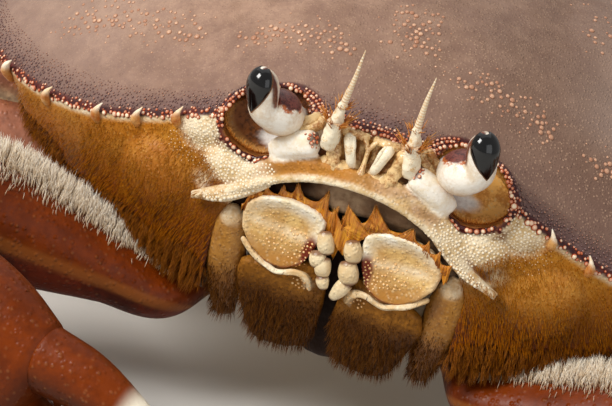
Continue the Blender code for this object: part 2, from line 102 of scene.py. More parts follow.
def smooth_faces(made):
    made.data.polygons.foreach_set("use_smooth", [True] * len(made.data.polygons))


def point_faces_out(made):
    shape = bmesh.new()
    shape.from_mesh(made.data)
    if shape.calc_volume(signed=True) < 0:
        bmesh.ops.reverse_faces(shape, faces=shape.faces)
    shape.to_mesh(made.data)
    shape.free()


def shaped_ball(name, columns, rows, place):
    """A UV sphere with each point put where place(turns, rows) says; row 0 and the last are its poles."""
    deselect()
    bpy.ops.mesh.primitive_uv_sphere_add(segments=columns, ring_count=rows, radius=1)
    made = bpy.context.object
    made.name = made.data.name = name
    ball = raw_points(made)
    row = np.rint(np.arccos(np.clip(ball[:, 2], -1, 1)) / math.pi * rows)
    turn = np.rint(np.arctan2(ball[:, 1], ball[:, 0]) / math.tau * columns) % columns / columns
    put_points(made, place(turn, row))
    point_faces_out(made)
    smooth_faces(made)
    return made


def apply(made, kind, **settings):
    pick(made)
    bpy.ops.object.modifier_add(type=kind)
    modifier = made.modifiers[-1]
    for key, value in settings.items():
        setattr(modifier, key, value)
    bpy.ops.object.modifier_apply(modifier=modifier.name)


def joined(pieces, name):
    deselect()
    for piece in pieces:
        piece.select_set(True)
    bpy.context.view_layer.objects.active = pieces[0]
    if len(pieces) > 1:
        bpy.ops.object.join()
    pieces[0].name = pieces[0].data.name = name
    return pieces[0]


def mark(made, name, values):
    """A value on every vertex, for the materials to read."""
    attribute = made.data.attributes.get(name) or made.data.attributes.new(name, "FLOAT", "POINT")
    attribute.data.foreach_set("value", np.full(len(made.data.vertices), values, np.float32))


def ease(value, low, high):
    t = np.clip((np.asarray(value, float) - low) / (high - low), 0, 1)
    return t * t * (3 - 2 * t)


def fade(value, low, high):
    return 1 - ease(value, low, high)


def unit(vectors):
    vectors = np.asarray(vectors, float)
    return vectors / np.maximum(np.linalg.norm(vectors, axis=-1, keepdims=True), 1e-9)


def grain(points, size):
    """Soft noise from -1 to 1 at each point."""
    return np.array([noise.noise(Vector(p) / size) for p in points])


def stretch(points):
    """Length of a line of points up to each of them."""
    return np.concatenate(([0], np.cumsum(np.linalg.norm(np.diff(points, axis=0), axis=1))))


def smooth_path(points, count):
    """Points spaced evenly along a smooth curve through the given ones, further columns carried along."""
    points = np.asarray(points, float)
    along = stretch(points[:, :3])
    slopes = np.gradient(points, along, axis=0)
    wanted = np.linspace(0, along[-1], count)
    at = np.clip(np.searchsorted(along, wanted, side="right") - 1, 0, len(along) - 2)
    span = (along[at + 1] - along[at])[:, None]
    t = ((wanted - along[at])[:, None]) / span
    a, b = points[at], points[at + 1]
    return (a * (1 + 2 * t) * (1 - t) ** 2 + slopes[at] * span * t * (1 - t) ** 2
            + b * t * t * (3 - 2 * t) + slopes[at + 1] * span * t * t * (t - 1))


def tube(name, stations, sides, rings, up=(0, 0, 1), profile=None, blunt=(1, 1), square=1.0):
    """A closed tube through stations of (x, y, z, half across, half up), rounded over at both ends.

    profile(angle, share) scales the section; blunt is the length of each rounded end against its half size.
    """
    line = smooth_path(stations, rings)
    centre, size = line[:, :3], line[:, 3:5]
    tangent = unit(np.gradient(centre, axis=0))
    across = unit(np.cross(tangent, np.asarray(up, float)))
    upward = np.cross(across, tangent)
    shares = np.linspace(0, 1, rings)
    index = np.concatenate(([0] * 3, np.arange(rings), [rings - 1] * 3))
    scale = np.concatenate((CAP_WIDTHS, np.ones(rings), CAP_WIDTHS[::-1]))
    shift = np.concatenate((-CAP_REACH * blunt[0], np.zeros(rings), CAP_REACH[::-1] * blunt[1]))

    def place(turn, row):
        r = row.astype(int)
        i = index[r]
        angle = turn * math.tau
        cosine, sine = np.cos(angle), np.sin(angle)
        if square != 1.0:
            cosine = np.sign(cosine) * np.abs(cosine) ** square
            sine = np.sign(sine) * np.abs(sine) ** square
        form = scale[r] if profile is None else profile(angle, shares[i]) * scale[r]
        return (centre[i] + tangent[i] * (shift[r] * size[i].mean(axis=1))[:, None]
                + across[i] * (size[i, 0] * cosine * form)[:, None]
                + upward[i] * (size[i, 1] * sine * form)[:, None])

    return shaped_ball(name, sides, len(index) - 1, place)


def both(point, side):
    return np.array(point) * (side, 1, 1)


def flipped(stations, side):
    return [(s[0] * side,) + tuple(s[1:]) for s in stations]


class Skin:
    """A finished surface that beads and hair are set on."""

    def __init__(self, *pieces):
        corners, faces = [], []
        for piece in pieces:
            base = len(corners)
            corners.extend(Vector(p) for p in crab_points(piece))
            faces.extend(sorted([base + i for i in polygon.vertices] for polygon in piece.data.polygons))
        self.tree = BVHTree.FromPolygons(corners, faces)

    def nearest(self, points):
        places, normals = zip(*(self.tree.find_nearest(Vector(p))[:2] for p in points))
        return np.array(places), np.array(normals)

    def along(self, starts, direction):
        """Where rays from the starts first meet the surface; rays that miss are dropped."""
        found = []
        for i, start in enumerate(starts):
            way = Vector(direction[i] if np.ndim(direction) == 2 else direction)
            place, normal, _, _ = self.tree.ray_cast(Vector(start), way)
            if place is not None:
                found.append((place, normal, i))
        return tuple(np.array(part) for part in zip(*found))


# ---------------------------------------------------------------- the shell's own surface

HALF_WIDTH, WIDEST_Y, FRONT_REACH = 83, 61, 60.5
FRONT_SETBACK, SETBACK_SPREAD = 2, 15
BACK_Y, BACK_HALF, BACK_MARGIN_Z = 111, 34, -14
MARGIN_DROP, MARGIN_SPREAD, MARGIN_POWER = 19.8, 39.5, 2.4
DOME_Y, DOME_Z, DOME_POWER = 58, 16.5, 2.5
BELLY_Z, BELLY_RISE, BELLY_SPREAD = -28, 8, 78
FACE_HALF, SIDE_HALF = 60, 82
ORBIT_CENTRE, ORBIT_RADII = np.array((16.9, 3.6, -4.3)), np.array((6.9, 7, 6.1))
SIDE_REACH = (1, 0.985, 0.955, 0.91, 0.86, 0.78, 0.66, 0.50, 0.26, 0)
SIDE_FALL = (0, 0.3, 0.55, 0.75, 0.88, 0.95, 1, 1, 1, 1)
FACE_REACH = (1, 0.995, 0.99, 0.985, 0.98, 0.96, 0.925, 0.80, 0.30, 0)
FACE_FALL = (0, 0.12, 0.30, 0.52, 0.76, 0.94, 1, 1, 1, 1)
CHEEK_X = (0, 22, 31, 42, 53, 64, 72, 80, 90)
CHEEK_Z = (-38.5, -39, -37, -33.5, -30.5, -28.5, -26, -22.5, -20)

# Swellings and grooves of the back: half-breadth, depth, their radii and height
REGIONS = (
    (0, 30, 8, 12, 0.7), (15, 23, 9, 9, 0.9), (33, 25, 9, 8, 0.6), (52, 41, 13, 9, 1.2),
    (48, 63, 15, 13, 0.8), (30, 85, 14, 11, 0.8), (0, 54, 7, 5, 0.3), (0, 73, 10, 9, 1.1),
    (0, 94, 9, 7, 0.5), (68, 52, 8, 8, 0.5), (22, 50, 4, 12, -1.1), (17, 78, 3.5, 11, -0.8),
    (36, 35, 9, 3.5, -0.8), (27, 11, 9, 3.5, -0.5), (6.5, 17, 3, 8, -0.4), (0, 12, 3.5, 7, -0.5),
    (57, 52, 14, 3, -0.5), (10, 62, 8, 2.5, -0.7), (0, 104, 22, 2.5, -0.6),
)


def margin_z(x):
    return -MARGIN_DROP * (1 - np.exp(-(np.abs(x) / MARGIN_SPREAD) ** MARGIN_POWER))


def front_margin(x):
    x = np.abs(np.asarray(x, float))
    y = WIDEST_Y - FRONT_REACH * np.cos(np.arcsin(np.minimum(x / HALF_WIDTH, 1)))
    y = y + FRONT_SETBACK * np.exp(-(x / SETBACK_SPREAD) ** 2)
    return np.stack([x, y, margin_z(x)], -1)


def margin(share):
    """The edge of the left half, from the front (0) to the middle of the back (1)."""
    share = np.asarray(share, float)
    front = front_margin(HALF_WIDTH * np.sin(np.clip(share / 0.55, 0, 1) * math.pi / 2))
    t = np.clip((share - 0.55) / 0.33, 0, 1)[..., None]
    corners = [np.array(c, float)
               for c in ((HALF_WIDTH, WIDEST_Y), (78, 78), (52, 103), (BACK_HALF, BACK_Y - 2))]
    flat = (corners[0] * (1 - t) ** 3 + corners[1] * 3 * t * (1 - t) ** 2
            + corners[2] * 3 * t * t * (1 - t) + corners[3] * t ** 3)
    z = margin_z(HALF_WIDTH) * (1 - t[..., 0]) + BACK_MARGIN_Z * t[..., 0]
    side = np.stack([flat[..., 0], flat[..., 1], z], -1)
    t = np.clip((share - 0.88) / 0.12, 0, 1)
    back = np.stack([BACK_HALF * (1 - t), BACK_Y - 2 * (1 - t) ** 2, np.full_like(t, BACK_MARGIN_Z)], -1)
    return np.where((share < 0.55)[..., None], front, np.where((share < 0.88)[..., None], side, back))


def belly_z(x):
    return BELLY_Z + BELLY_RISE * (np.abs(x) / BELLY_SPREAD) ** 1.6


def under_point(edge, share):
    """Reach and height below the edge; share runs from the edge (0) to the middle of the belly (1)."""
    steps = np.linspace(0, 1, len(SIDE_REACH))
    side_reach, side_fall = np.interp(share, steps, SIDE_REACH), np.interp(share, steps, SIDE_FALL)
    face_reach, face_fall = np.interp(share, steps, FACE_REACH), np.interp(share, steps, FACE_FALL)
    rear = np.where(edge[:, 1] > WIDEST_Y, ease(edge[:, 1], WIDEST_Y, BACK_Y), 0)
    reach = side_reach + (1 - side_reach) * 0.55 * rear * (1 - side_fall ** 3)
    z = edge[:, 2] + (belly_z(edge[:, 0] * reach) - edge[:, 2]) * side_fall
    upright = np.where(edge[:, 1] > WIDEST_Y, 0, fade(edge[:, 0], FACE_HALF, SIDE_HALF))
    cheek = np.interp(edge[:, 0], CHEEK_X, CHEEK_Z)
    inner = ease(share, 0.67, 0.78)
    face_z = edge[:, 2] + (cheek - edge[:, 2]) * face_fall
    face_z = face_z + (belly_z(edge[:, 0] * face_reach) - face_z) * inner
    return reach + (face_reach - reach) * upright, z + (face_z - z) * upright


def relief(x, y):
    """How far the back's swellings stand up."""
    height = np.zeros_like(x)
    for cx, cy, rx, ry, rise in REGIONS:
        height += rise * np.exp(-((np.abs(x) - cx) / rx) ** 2 - ((y - cy) / ry) ** 2)
    return height


def shell_surface(turn, down):
    """down: 0 at the top of the dome, 1 at the edge, 2 under the middle of the belly."""
    share = np.where(turn <= 0.5, turn * 2, 2 - turn * 2)
    side = np.where(turn <= 0.5, 1, -1)
    edge = margin(share)
    top = down <= 1
    reach = np.where(top, down, 0)
    z = DOME_Z + (edge[:, 2] - DOME_Z) * reach ** DOME_POWER
    under_reach, under_z = under_point(edge, np.clip(down - 1, 0, 1))
    reach, z = np.where(top, reach, under_reach), np.where(top, z, under_z)
    x, y = edge[:, 0] * reach, DOME_Y + (edge[:, 1] - DOME_Y) * reach
    z = z + np.where(top, relief(x, y) * fade(reach, 0.93, 1.0), 0)
    return np.stack([x * side, y, z], -1)


def ellipsoid(name, centre, radii, columns=32, rows=20):
    def place(turn, row):
        down, around = row / rows * math.pi, turn * math.tau
        form = np.stack([np.sin(down) * np.cos(around), np.sin(down) * np.sin(around), np.cos(down)], -1)
        return np.asarray(centre) + form * np.asarray(radii)

    return shaped_ball(name, columns, rows, place)


def combine(body, pieces, operation):
    group = bpy.data.collections.new("cutters")
    bpy.context.scene.collection.children.link(group)
    for piece in pieces:
        for home in list(piece.users_collection):
            home.objects.unlink(piece)
        group.objects.link(piece)
    apply(body, "BOOLEAN", operation=operation, solver="MANIFOLD", operand_type="COLLECTION",
          collection=group)
    for piece in pieces:
        bpy.data.objects.remove(piece, do_unlink=True)
    bpy.data.collections.remove(group)


ARCH = (
    (0, -0.5, -8.6, 1.7, 0.8), (7, 0, -9.7, 1.7, 0.8), (13, 0.8, -12.4, 1.7, 0.85),
    (17.6, 1.7, -15.6, 1.7, 0.9), (21.5, 2.3, -18.4, 1.6, 0.9), (25.6, 2.6, -20.5, 1.1, 0.6),
)
SEAT = (
    (14.6, 2.2, -7.9, 1.5, 1.5), (13, 1.2, -6.6, 1.9, 1.9), (10.8, 0.5, -5, 2.1, 2.1),
    (8.7, 0.1, -4, 2, 2.1),
)
SILL = (
    (0, 0.5, -7.3, 1.8, 1.3), (6, 0.9, -7.9, 1.9, 1.7), (11, 1.5, -9.4, 2, 2), (15.5, 2.3, -12, 2, 2),
    (19.5, 3.2, -15.2, 1.8, 1.6),
)
PIT_CENTRE, PIT_RADII = (3.1, 1, -3.9), (2.3, 2.3, 2.8)
MOUTH_HALF, MOUTH_HEIGHT, MOUTH_Z = 21.4, 18.2, -27.5
# Swellings that the face is built up from on each side: middle and radii
SWELLINGS = (
    ((19.6, 4.6, -14), (6.6, 3.2, 4.4)), ((26.5, 6.6, -9.5), (4.6, 3.4, 3.8)), ((31, 8.4, -21), (9, 4.2, 8)),
    ((9.4, 3.9, -3.3), (2.4, 2.6, 2.9)),
)
SKIN_GRID, SKIN_KEPT = 0.0005, 0.4      # metres between the shell's points; share of them kept off the face
# The raised rim round the left orbit
RIM = (
    (9.7, 3.4, 0.1), (11.6, 5.2, 0.8), (13.6, 6, 1.1), (15.5, 6.2, 1.1), (17.5, 6, 0.7), (19.5, 5.5, 0),
    (21.4, 4.8, -0.8), (23, 3.8, -2.3), (24, 2.8, -4.2), (24.2, 2.3, -5.8), (23.7, 2, -7.3),
    (22.6, 1.9, -8.7), (21.2, 1.9, -9.7), (19.6, 2, -10.3), (18.1, 2.1, -10.6), (16.6, 2.3, -10.5),
    (15, 2.6, -9.9),
)


def rim_scale(local):
    """How far the rim lies in the direction of each point from the orbit's middle, against a plain oval."""
    line = (smooth_path(RIM[2:], 80) - ORBIT_CENTRE) / ORBIT_RADII
    reach = np.hypot(line[:, 0], line[:, 2]) / np.sqrt(1 - line[:, 1] ** 2)
    scale = np.interp(np.arctan2(local[:, 2], local[:, 0]), np.arctan2(line[:, 2], line[:, 0]), reach,
                      period=math.tau)
    return scale[:, None] ** (1, 0, 1)


def fit_orbit(made, side):
    """Widens or narrows a ball in the orbit so that its opening follows the rim."""
    middle, turned = both(ORBIT_CENTRE, side), np.array((side, 1, 1))
    local = (crab_points(made) - middle) * turned / ORBIT_RADII
    put_points(made, middle + local * rim_scale(local) * ORBIT_RADII * turned)
    return made


def from_orbit(folded):
    """Distance from the orbit's middle: 1 on its wall."""
    local = (folded - ORBIT_CENTRE) / ORBIT_RADII
    return np.linalg.norm(local / rim_scale(local), axis=1)


def carapace():
    """The whole shell as one skin: dome, edge, cheeks and belly, with its arch, orbits, pits and mouth."""
    rows_top, rows_under = 44, 46

    def place(turn, row):
        share = row / rows_top
        down = np.where(row <= rows_top, 1 - (1 - np.clip(share, 0, 1)) ** 1.35,
                        1 + (row - rows_top) / rows_under)
        return shell_surface(turn, down)

    shell = shaped_ball("shell", 320, rows_top + rows_under, place)
    added = [tube("arch", flipped(half[:0:-1], -1) + list(half), 20, 60, square=0.8)
             for half in (ARCH, SILL)]
    for side, _ in SIDES:
        added += [ellipsoid("swelling", both(middle, side), radii) for middle, radii in SWELLINGS]
        bank = [(x + 0.2, y + 0.9, z - 0.9, size, size) for (x, y, z), size in
                zip(RIM[3:13], (0.9, 1.15, 1.3, 1.35, 1.35, 1.35, 1.3, 1.2, 1.1, 0.9))]
        added.append(tube("bank", flipped(bank, side), 20, 40, up=(0.1, -1, 0.15)))
    combine(shell, added, "UNION")
    cutters = [ellipsoid("pit", both(PIT_CENTRE, side), PIT_RADII) for side, _ in SIDES]
    cutters += [fit_orbit(ellipsoid("orbit", both(ORBIT_CENTRE, side), ORBIT_RADII, 64, 40), side)
                for side, _ in SIDES]

    def mouth(turn, row):
        """A round-topped recess with square lower corners."""
        step = np.clip(row - 1, 0, 3).astype(int)
        y, shrink = np.array((-8, 6, 11, 13))[step], np.array((0, 0, 0.6, 2.2))[step]
        cosine, sine = np.cos(turn * math.tau), np.sin(turn * math.tau)
        power = np.where(sine > 0, 1.0, 0.35)
        wide, high = np.abs(cosine) ** power * np.sign(cosine), np.abs(sine) ** power * np.sign(sine)
        shut = np.where((row == 0) | (row == 5), 0, 1)
        return np.stack([(MOUTH_HALF - shrink) * wide * shut, y,
                         MOUTH_Z + (MOUTH_HEIGHT - shrink) * high * shut], -1)

    cutters.append(shaped_ball("mouth", 96, 5, mouth))
    combine(shell, cutters, "DIFFERENCE")
    seats = [tube("seat", flipped(SEAT, side), 24, 20, blunt=(0.8, 0.45), square=0.7) for side, _ in SIDES]
    combine(shell, seats, "UNION")
    apply(shell, "REMESH", mode="VOXEL", voxel_size=SKIN_GRID)
    apply(shell, "SMOOTH", factor=0.5, iterations=3)
    points = crab_points(shell)
    group = shell.vertex_groups.new(name="plain")
    keep = (points[:, 1] < 24) & (np.abs(points[:, 0]) < 66) & (points[:, 1] < 24 + (points[:, 2] > 0) * 20)
    weight = np.where(keep, 0.0, 1.0)
    for value in (0, 1):
        group.add([int(i) for i in np.nonzero(weight == value)[0]], value, "REPLACE")
    apply(shell, "DECIMATE", ratio=SKIN_KEPT, vertex_group="plain", vertex_group_factor=10.0)
    smooth_faces(shell)
    return shell


def edge_outline():
    """The shell's edge seen from above: direction from the dome's middle, distance and height."""
    edge = margin(np.linspace(0, 1, 400))
    angle = np.arctan2(edge[:, 0], DOME_Y - edge[:, 1])
    order = np.argsort(angle)
    return angle[order], np.hypot(edge[:, 0], DOME_Y - edge[:, 1])[order], edge[order, 2]


def edge_height(x, y):
    """Height of the shell's edge in the direction of each point, seen from above."""
    angle, _, height = edge_outline()
    return np.interp(np.arctan2(np.abs(x), DOME_Y - y), angle, height)


def edge_reach(x, y):
    """0 over the dome's middle and 1 on the edge, seen from above."""
    angle, far, _ = edge_outline()
    return np.hypot(x, DOME_Y - y) / np.interp(np.arctan2(np.abs(x), DOME_Y - y), angle, far)


def spot(x, z, cx, cz, rx, rz):
    """A soft oval, 1 in its middle and 0 outside."""
    return fade(np.hypot((x - cx) / rx, (z - cz) / rz), 0.6, 1.15)


def near_line(points, line):
    """Distance of each point from a smooth line."""
    path = smooth_path([station[:3] for station in line], 160)
    low, high = path.min(0) - 6, path.max(0) + 6
    close = np.nonzero(((points > low) & (points < high)).all(1))[0]
    away = np.full(len(points), 99.0)
    for part in np.array_split(close, max(1, len(close) // 4000)):
        away[part] = np.sqrt(((points[part][:, None] - path[None]) ** 2).sum(-1)).min(1)
    return away


def hollows(made):
    """Above 0 in valleys and below 0 on crests."""
    mesh = made.data
    points = crab_points(made)
    edges = np.zeros(len(mesh.edges) * 2, np.int32)
    mesh.edges.foreach_get("vertices", edges)
    edges = edges.reshape(-1, 2)
    normals = np.zeros(len(mesh.vertices) * 3)
    mesh.vertices.foreach_get("normal", normals)
    count = np.bincount(edges.ravel(), minlength=len(points))[:, None]
    soft = points
    for _ in range(12):
        total = np.zeros_like(soft)
        np.add.at(total, edges[:, 0], soft[edges[:, 1]])
        np.add.at(total, edges[:, 1], soft[edges[:, 0]])
        soft = total / np.maximum(count, 1) * 0.5 + soft * 0.5
    return ((soft - points) * normals.reshape(-1, 3)).sum(1)


def mark_shell(shell):
    points = crab_points(shell)
    folded = fold(points)
    x, y, z = folded.T
    far = np.abs(1 - edge_reach(x, y)) * np.maximum(np.hypot(x, DOME_Y - y), 30.0)
    side = z - edge_height(x, y)
    mark(shell, "back", ease(side, -0.5, 0.1))
    mark(shell, "inland", far)
    block = fade(near_line(folded, SEAT), 2.3, 2.8) * ease(z, -9.9, -9.0)
    mark(shell, "block", block)
    mark(shell, "orbit", fade(from_orbit(folded), 1.01, 1.05) * (1 - block) * (y < 30))
    pit = np.linalg.norm((folded - PIT_CENTRE) / PIT_RADII, axis=1)
    mark(shell, "pit", fade(pit, 1.01, 1.05) * (1 - block) * (y < 30))
    oval = np.where(z > MOUTH_Z, np.hypot(x / MOUTH_HALF, (z - MOUTH_Z) / MOUTH_HEIGHT), x / MOUTH_HALF)
    # Painted shade: the mouth's recess is painted near black.
    mark(shell, "mouth", fade(oval, 1.0, 1.03) * ease(y - (3.0 - (z + 10) * 0.05), 0.0, 0.8) * (y < 30))
    upper = ease(z, -7.5, -4.5)
    mark(shell, "red", np.maximum.reduce([
        fade(near_line(folded, RIM), 0.95 + 0.15 * upper, 1.35 + 0.3 * upper) * (1 - block),
        fade(near_line(folded, FISSURE), 0.3, 0.7),
        fade(far, 0.4, 1.1) * ease(side, -0.6, -0.2) * (y < 62),
        spot(x, z, 8.2, -2.8, 1.2, 1.4) * (y < 0.9) * 0.8]))
    lip = near_line(folded, [(p[0], p[1] - 1.2, p[2] - 0.25) for p in ARCH])
    sill = near_line(folded, SILL)
    mark(shell, "cream", (side < 0.1) * np.maximum.reduce([
        spot(x, z, 19.3, -12.9, 7.4, 4.4), spot(x, z, 27.2, -9.3, 4.6, 4.6), fade(lip, 0.85, 1.4),
        spot(x, z, 10.6, -5.0, 4.2, 2.6), spot(x, z, 21.0, -18.0, 6.4, 2.6),
        0.9 * fade(sill, 2.0, 3.0) * ease(points[:, 0], -4.0, 9.0),
        fade(far - side, 0.9, 1.9) * fade(x, 58, 76) * 0.9]))
    # Painted shade: darker gold along the creases between the face's lobes and under the feelers' blocks,
    # and on the crab's right side below the sill.
    mark(shell, "groove", np.maximum.reduce([
        0.9 * fade(near_line(folded, GROOVE), 0.45, 1.3), 0.5 * spot(x, z, 5.0, -6.6, 7.5, 1.9),
        0.6 * fade(np.abs(z + 9.7 + 0.3 * (x - 12)), 0.3, 1.6) * ease(x, 8, 10) * fade(x, 13, 16),
        0.85 * fade(sill, 1.7, 2.6) * ease(-points[:, 0], 4, 8) * fade(x, 15, 18)]))
    mark(shell, "fall", ease(-z, 12, 30))
    mark(shell, "belly", (side < -1) * ease(y, 20, 38))
    # Painted shade: the face is darkened in its hollows and creases.
    mark(shell, "crevice_shade", hollows(shell) * (y < 30))


# ---------------------------------------------------------------- beads

def dome(columns, rows):
    """One bead, cut off flat under its widest ring: its points and faces."""
    deselect()
    bpy.ops.mesh.primitive_uv_sphere_add(segments=columns, ring_count=rows, radius=1)
    made = bpy.context.object
    bpy.ops.object.mode_set(mode="EDIT")
    bpy.ops.mesh.select_all(action="SELECT")
    bpy.ops.mesh.bisect(plane_co=(0, 0, -0.25), plane_no=(0, 0, 1), clear_inner=True, use_fill=True)
    bpy.ops.object.mode_set(mode="OBJECT")
    points = np.array([v.co for v in made.data.vertices])
    faces = sorted(list(p.vertices) for p in made.data.polygons)
    bpy.data.objects.remove(made, do_unlink=True)
    return points, faces


BEADS = {"large": dome(10, 8), "fine": dome(6, 4)}


def mesh_piece(name, points, faces):
    mesh = bpy.data.meshes.new(name)
    mesh.from_pydata(world(points).tolist(), [], faces)
    mesh.update()
    made = bpy.data.objects.new(name, mesh)
    bpy.context.scene.collection.objects.link(made)
    smooth_faces(made)
    return made


def frames(normals):
    """Two directions across each normal."""
    helper = np.where(np.abs(normals[:, 2:3]) < 0.9, [[0, 0, 1]], [[1, 0, 0]])
    first = unit(np.cross(normals, helper))
    return first, np.cross(normals, first)


def beads(name, places, normals, radii, shades, kind="large", height=0.9, sink=0.1):
    """One piece of many beads, each standing on its own place."""
    form, faces = BEADS[kind]
    first, second = frames(normals)
    radii = np.asarray(radii, float)
    places = places - normals * (radii * sink)[:, None]
    local = form[None] * radii[:, None, None]
    points = (places[:, None] + first[:, None] * local[..., 0:1] + second[:, None] * local[..., 1:2]
              + normals[:, None] * local[..., 2:3] * height)
    count = len(form)
    every = [[i + start for i in face] for start in range(0, len(places) * count, count) for face in faces]
    made = mesh_piece(name, points.reshape(-1, 3), every)
    mark(made, "tip", np.tile((form[:, 2] + 0.25) / 1.25, len(places)))
    mark(made, "shade", np.repeat(np.asarray(shades, float), count))
    return made


def row_of(points, step, rng, jitter):
    """Places a step apart along a line, a little uneven."""
    line = smooth_path(points, 600)
    along = stretch(line)
    wanted = np.arange(step / 2, along[-1], step)
    wanted = wanted + rng.uniform(-jitter, jitter, len(wanted)) * step
    return np.stack([np.interp(wanted, along, line[:, k]) for k in range(3)], -1)


NEIGHBOURS = [(a, b, c) for a in (-1, 0, 1) for b in (-1, 0, 1) for c in (-1, 0, 1)]


def spread_out(points, gap):
    """Keeps those points that lie at least a gap from the ones kept before them."""
    cells, kept = {}, []
    for i, p in enumerate(points):
        cell = tuple((p // gap).astype(int))
        near = (cells.get((cell[0] + a, cell[1] + b, cell[2] + c), ()) for a, b, c in NEIGHBOURS)
        if all(np.linalg.norm(p - points[j]) >= gap for group in near for j in group):
            cells.setdefault(cell, []).append(i)
            kept.append(i)
    return np.array(kept, int)


def in_oval(middle, radii, side, count, depth, rng):
    """Random places in an upright oval ahead of the crab, and how far out in it each lies, up to 1."""
    angle, far = rng.uniform(0, math.tau, count), np.sqrt(rng.uniform(0, 1, count))
    return np.stack([(middle[0] + radii[0] * far * np.cos(angle)) * side, np.full(count, depth),
                     middle[1] + radii[1] * far * np.sin(angle)], -1), far


def on_face(points, deepest, under):
    """Whether each point lies on the face, clear of the orbits and by so much under the shell's edge."""
    high = edge_height(points[:, 0], points[:, 1]) - under
    return (from_orbit(fold(points)) > 1.12) & (points[:, 1] < deepest) & (points[:, 2] < high)


TOOTH_X = (32, 39, 46.5, 57, 67, 74.5, 80, 83)
TOOTH_LENGTH = (2, 2, 2.1, 2.5, 2.9, 3.3, 3.7, 4.2)
FISSURE = ((23, 2, -9), (24, 2.1, -9.7), (25.2, 2.4, -10.3))
GROOVE = ((14.6, 2.6, -9.8), (15.8, 2.4, -10.8), (17.6, 2.4, -12.7), (20.4, 2.6, -15.8), (23.2, 3, -18.4))


def edge_beads(skin):
    """The rows of beads along the shell's edge and round the orbits."""
    rng = np.random.default_rng(11)
    places, radii = [], []
    for side, _ in SIDES:
        outline = front_margin(np.linspace(25.5, 82.5, 60))
        outward = unit(np.stack([outline[:, 0], outline[:, 1] - DOME_Y, outline[:, 0] * 0], -1))
        for inland, lift, step, size in ((-0.3, -0.3, 1, 0.46), (0.35, 0.3, 0.95, 0.33),
                                         (0.9, 0.5, 1.3, 0.27)):
            line = outline - outward * inland + np.array((0, 0, lift))
            spots = row_of(line * (side, 1, 1), step, rng, 0.3) + rng.normal(0, 0.12, 3)
            clear = np.min(np.abs(np.abs(spots[:, 0:1]) - np.array(TOOTH_X)[None]), axis=1) > 0.8
            places.append(spots[clear] + rng.normal(0, 0.16, (clear.sum(), 3)))
            radii.append(size * rng.uniform(0.5, 1.3, clear.sum()))
        for push, lift, step, size in ((0.05, -0.1, 0.92, 0.42), (0.8, 0.2, 0.72, 0.32),
                                       (1.4, 0.4, 0.8, 0.26)):
            line = np.array(RIM) * (side, 1, 1)
            line = line + unit(line - both(ORBIT_CENTRE, side)) * push + np.array((0, -0.8, lift))
            spots = row_of(line if push < 0.1 else line[:12], step, rng, 0.25)
            gap = np.linalg.norm(spots - both((23.8, 1.1, -8.2), side), axis=1) > 0.8
            places.append(spots[gap])
            radii.append(size * rng.uniform(0.75, 1.2, gap.sum()))
        for centre, big, crowd, wide in (((9.9, 2.2, -0.1), 0.6, 26, 1.5),
                                         ((25.2, 1.6, -4.2), 0.62, 52, 2.3),
                                         ((3.3, 0.4, -0.5), 0.5, 24, 1.1), ((8.3, -1, -2.7), 0, 40, 1.15)):
            spots = both(centre, side) + rng.normal(0, 1, (crowd, 3)) * wide * (0.62, 0.5, 0.55)
            if big:
                spots[0] = both(centre, side)
            places.append(spots)
            radii.append(np.concatenate(([max(big, 0.24)], rng.uniform(0.2, 0.34, crowd - 1))))
    middle = np.array((0, 1.3, -0.2)) + rng.normal(0, 1, (26, 3)) * (0.95, 0.6, 0.6)
    middle[0] = (0, 1, 0)
    places.append(middle)
    radii.append(np.concatenate(([0.55], rng.uniform(0.22, 0.34, 25))))
    front = front_margin(np.linspace(0, 9.3, 20))
    front = np.concatenate((front[:0:-1] * (-1, 1, 1), front))
    for inland, lift, size in ((-0.15, 0, 0.32), (0.5, 0.5, 0.28), (1.1, 0.8, 0.25)):
        spots = row_of(front + np.array((0, inland, lift)), 0.62, rng, 0.3)
        places.append(spots)
        radii.append(size * rng.uniform(0.7, 1.25, len(spots)))
    places, radii = np.concatenate(places), np.concatenate(radii)
    order = np.argsort(-radii)
    on, normals = skin.nearest(places[order])
    radii = radii[order]
    kept = spread_out(on, 0.46)
    shades = rng.uniform(0.1, 0.85, len(on)) ** 1.2 + ease(radii, 0.34, 0.5) * 0.35
    return beads("edge_beads", on[kept], normals[kept], radii[kept], shades[kept], "large", 1.0)


def orbit_rims(skin):
    """The dark raised rims of the orbits, under their beads."""
    rims = []
    for side, _ in SIDES:
        for line, size in ((RIM[11:], 0.42), (RIM[2:11], 0.42)):
            on, _ = skin.nearest(smooth_path(np.array(line) * (side, 1, 1), 24))
            stations = [(*p, size * g, size * g) for p, g in
                        zip(on, 0.45 + 0.55 * np.sin(np.linspace(0.12, 0.88, 24) * math.pi))]
            rims.append(tube("rim", stations, 12, 90, up=(0.1, -1, 0.15), profile=creased))
    made = joined(rims, "orbit_rims")
    mark(made, "tip", 0.0)
    mark(made, "shade", 0.0)
    return made


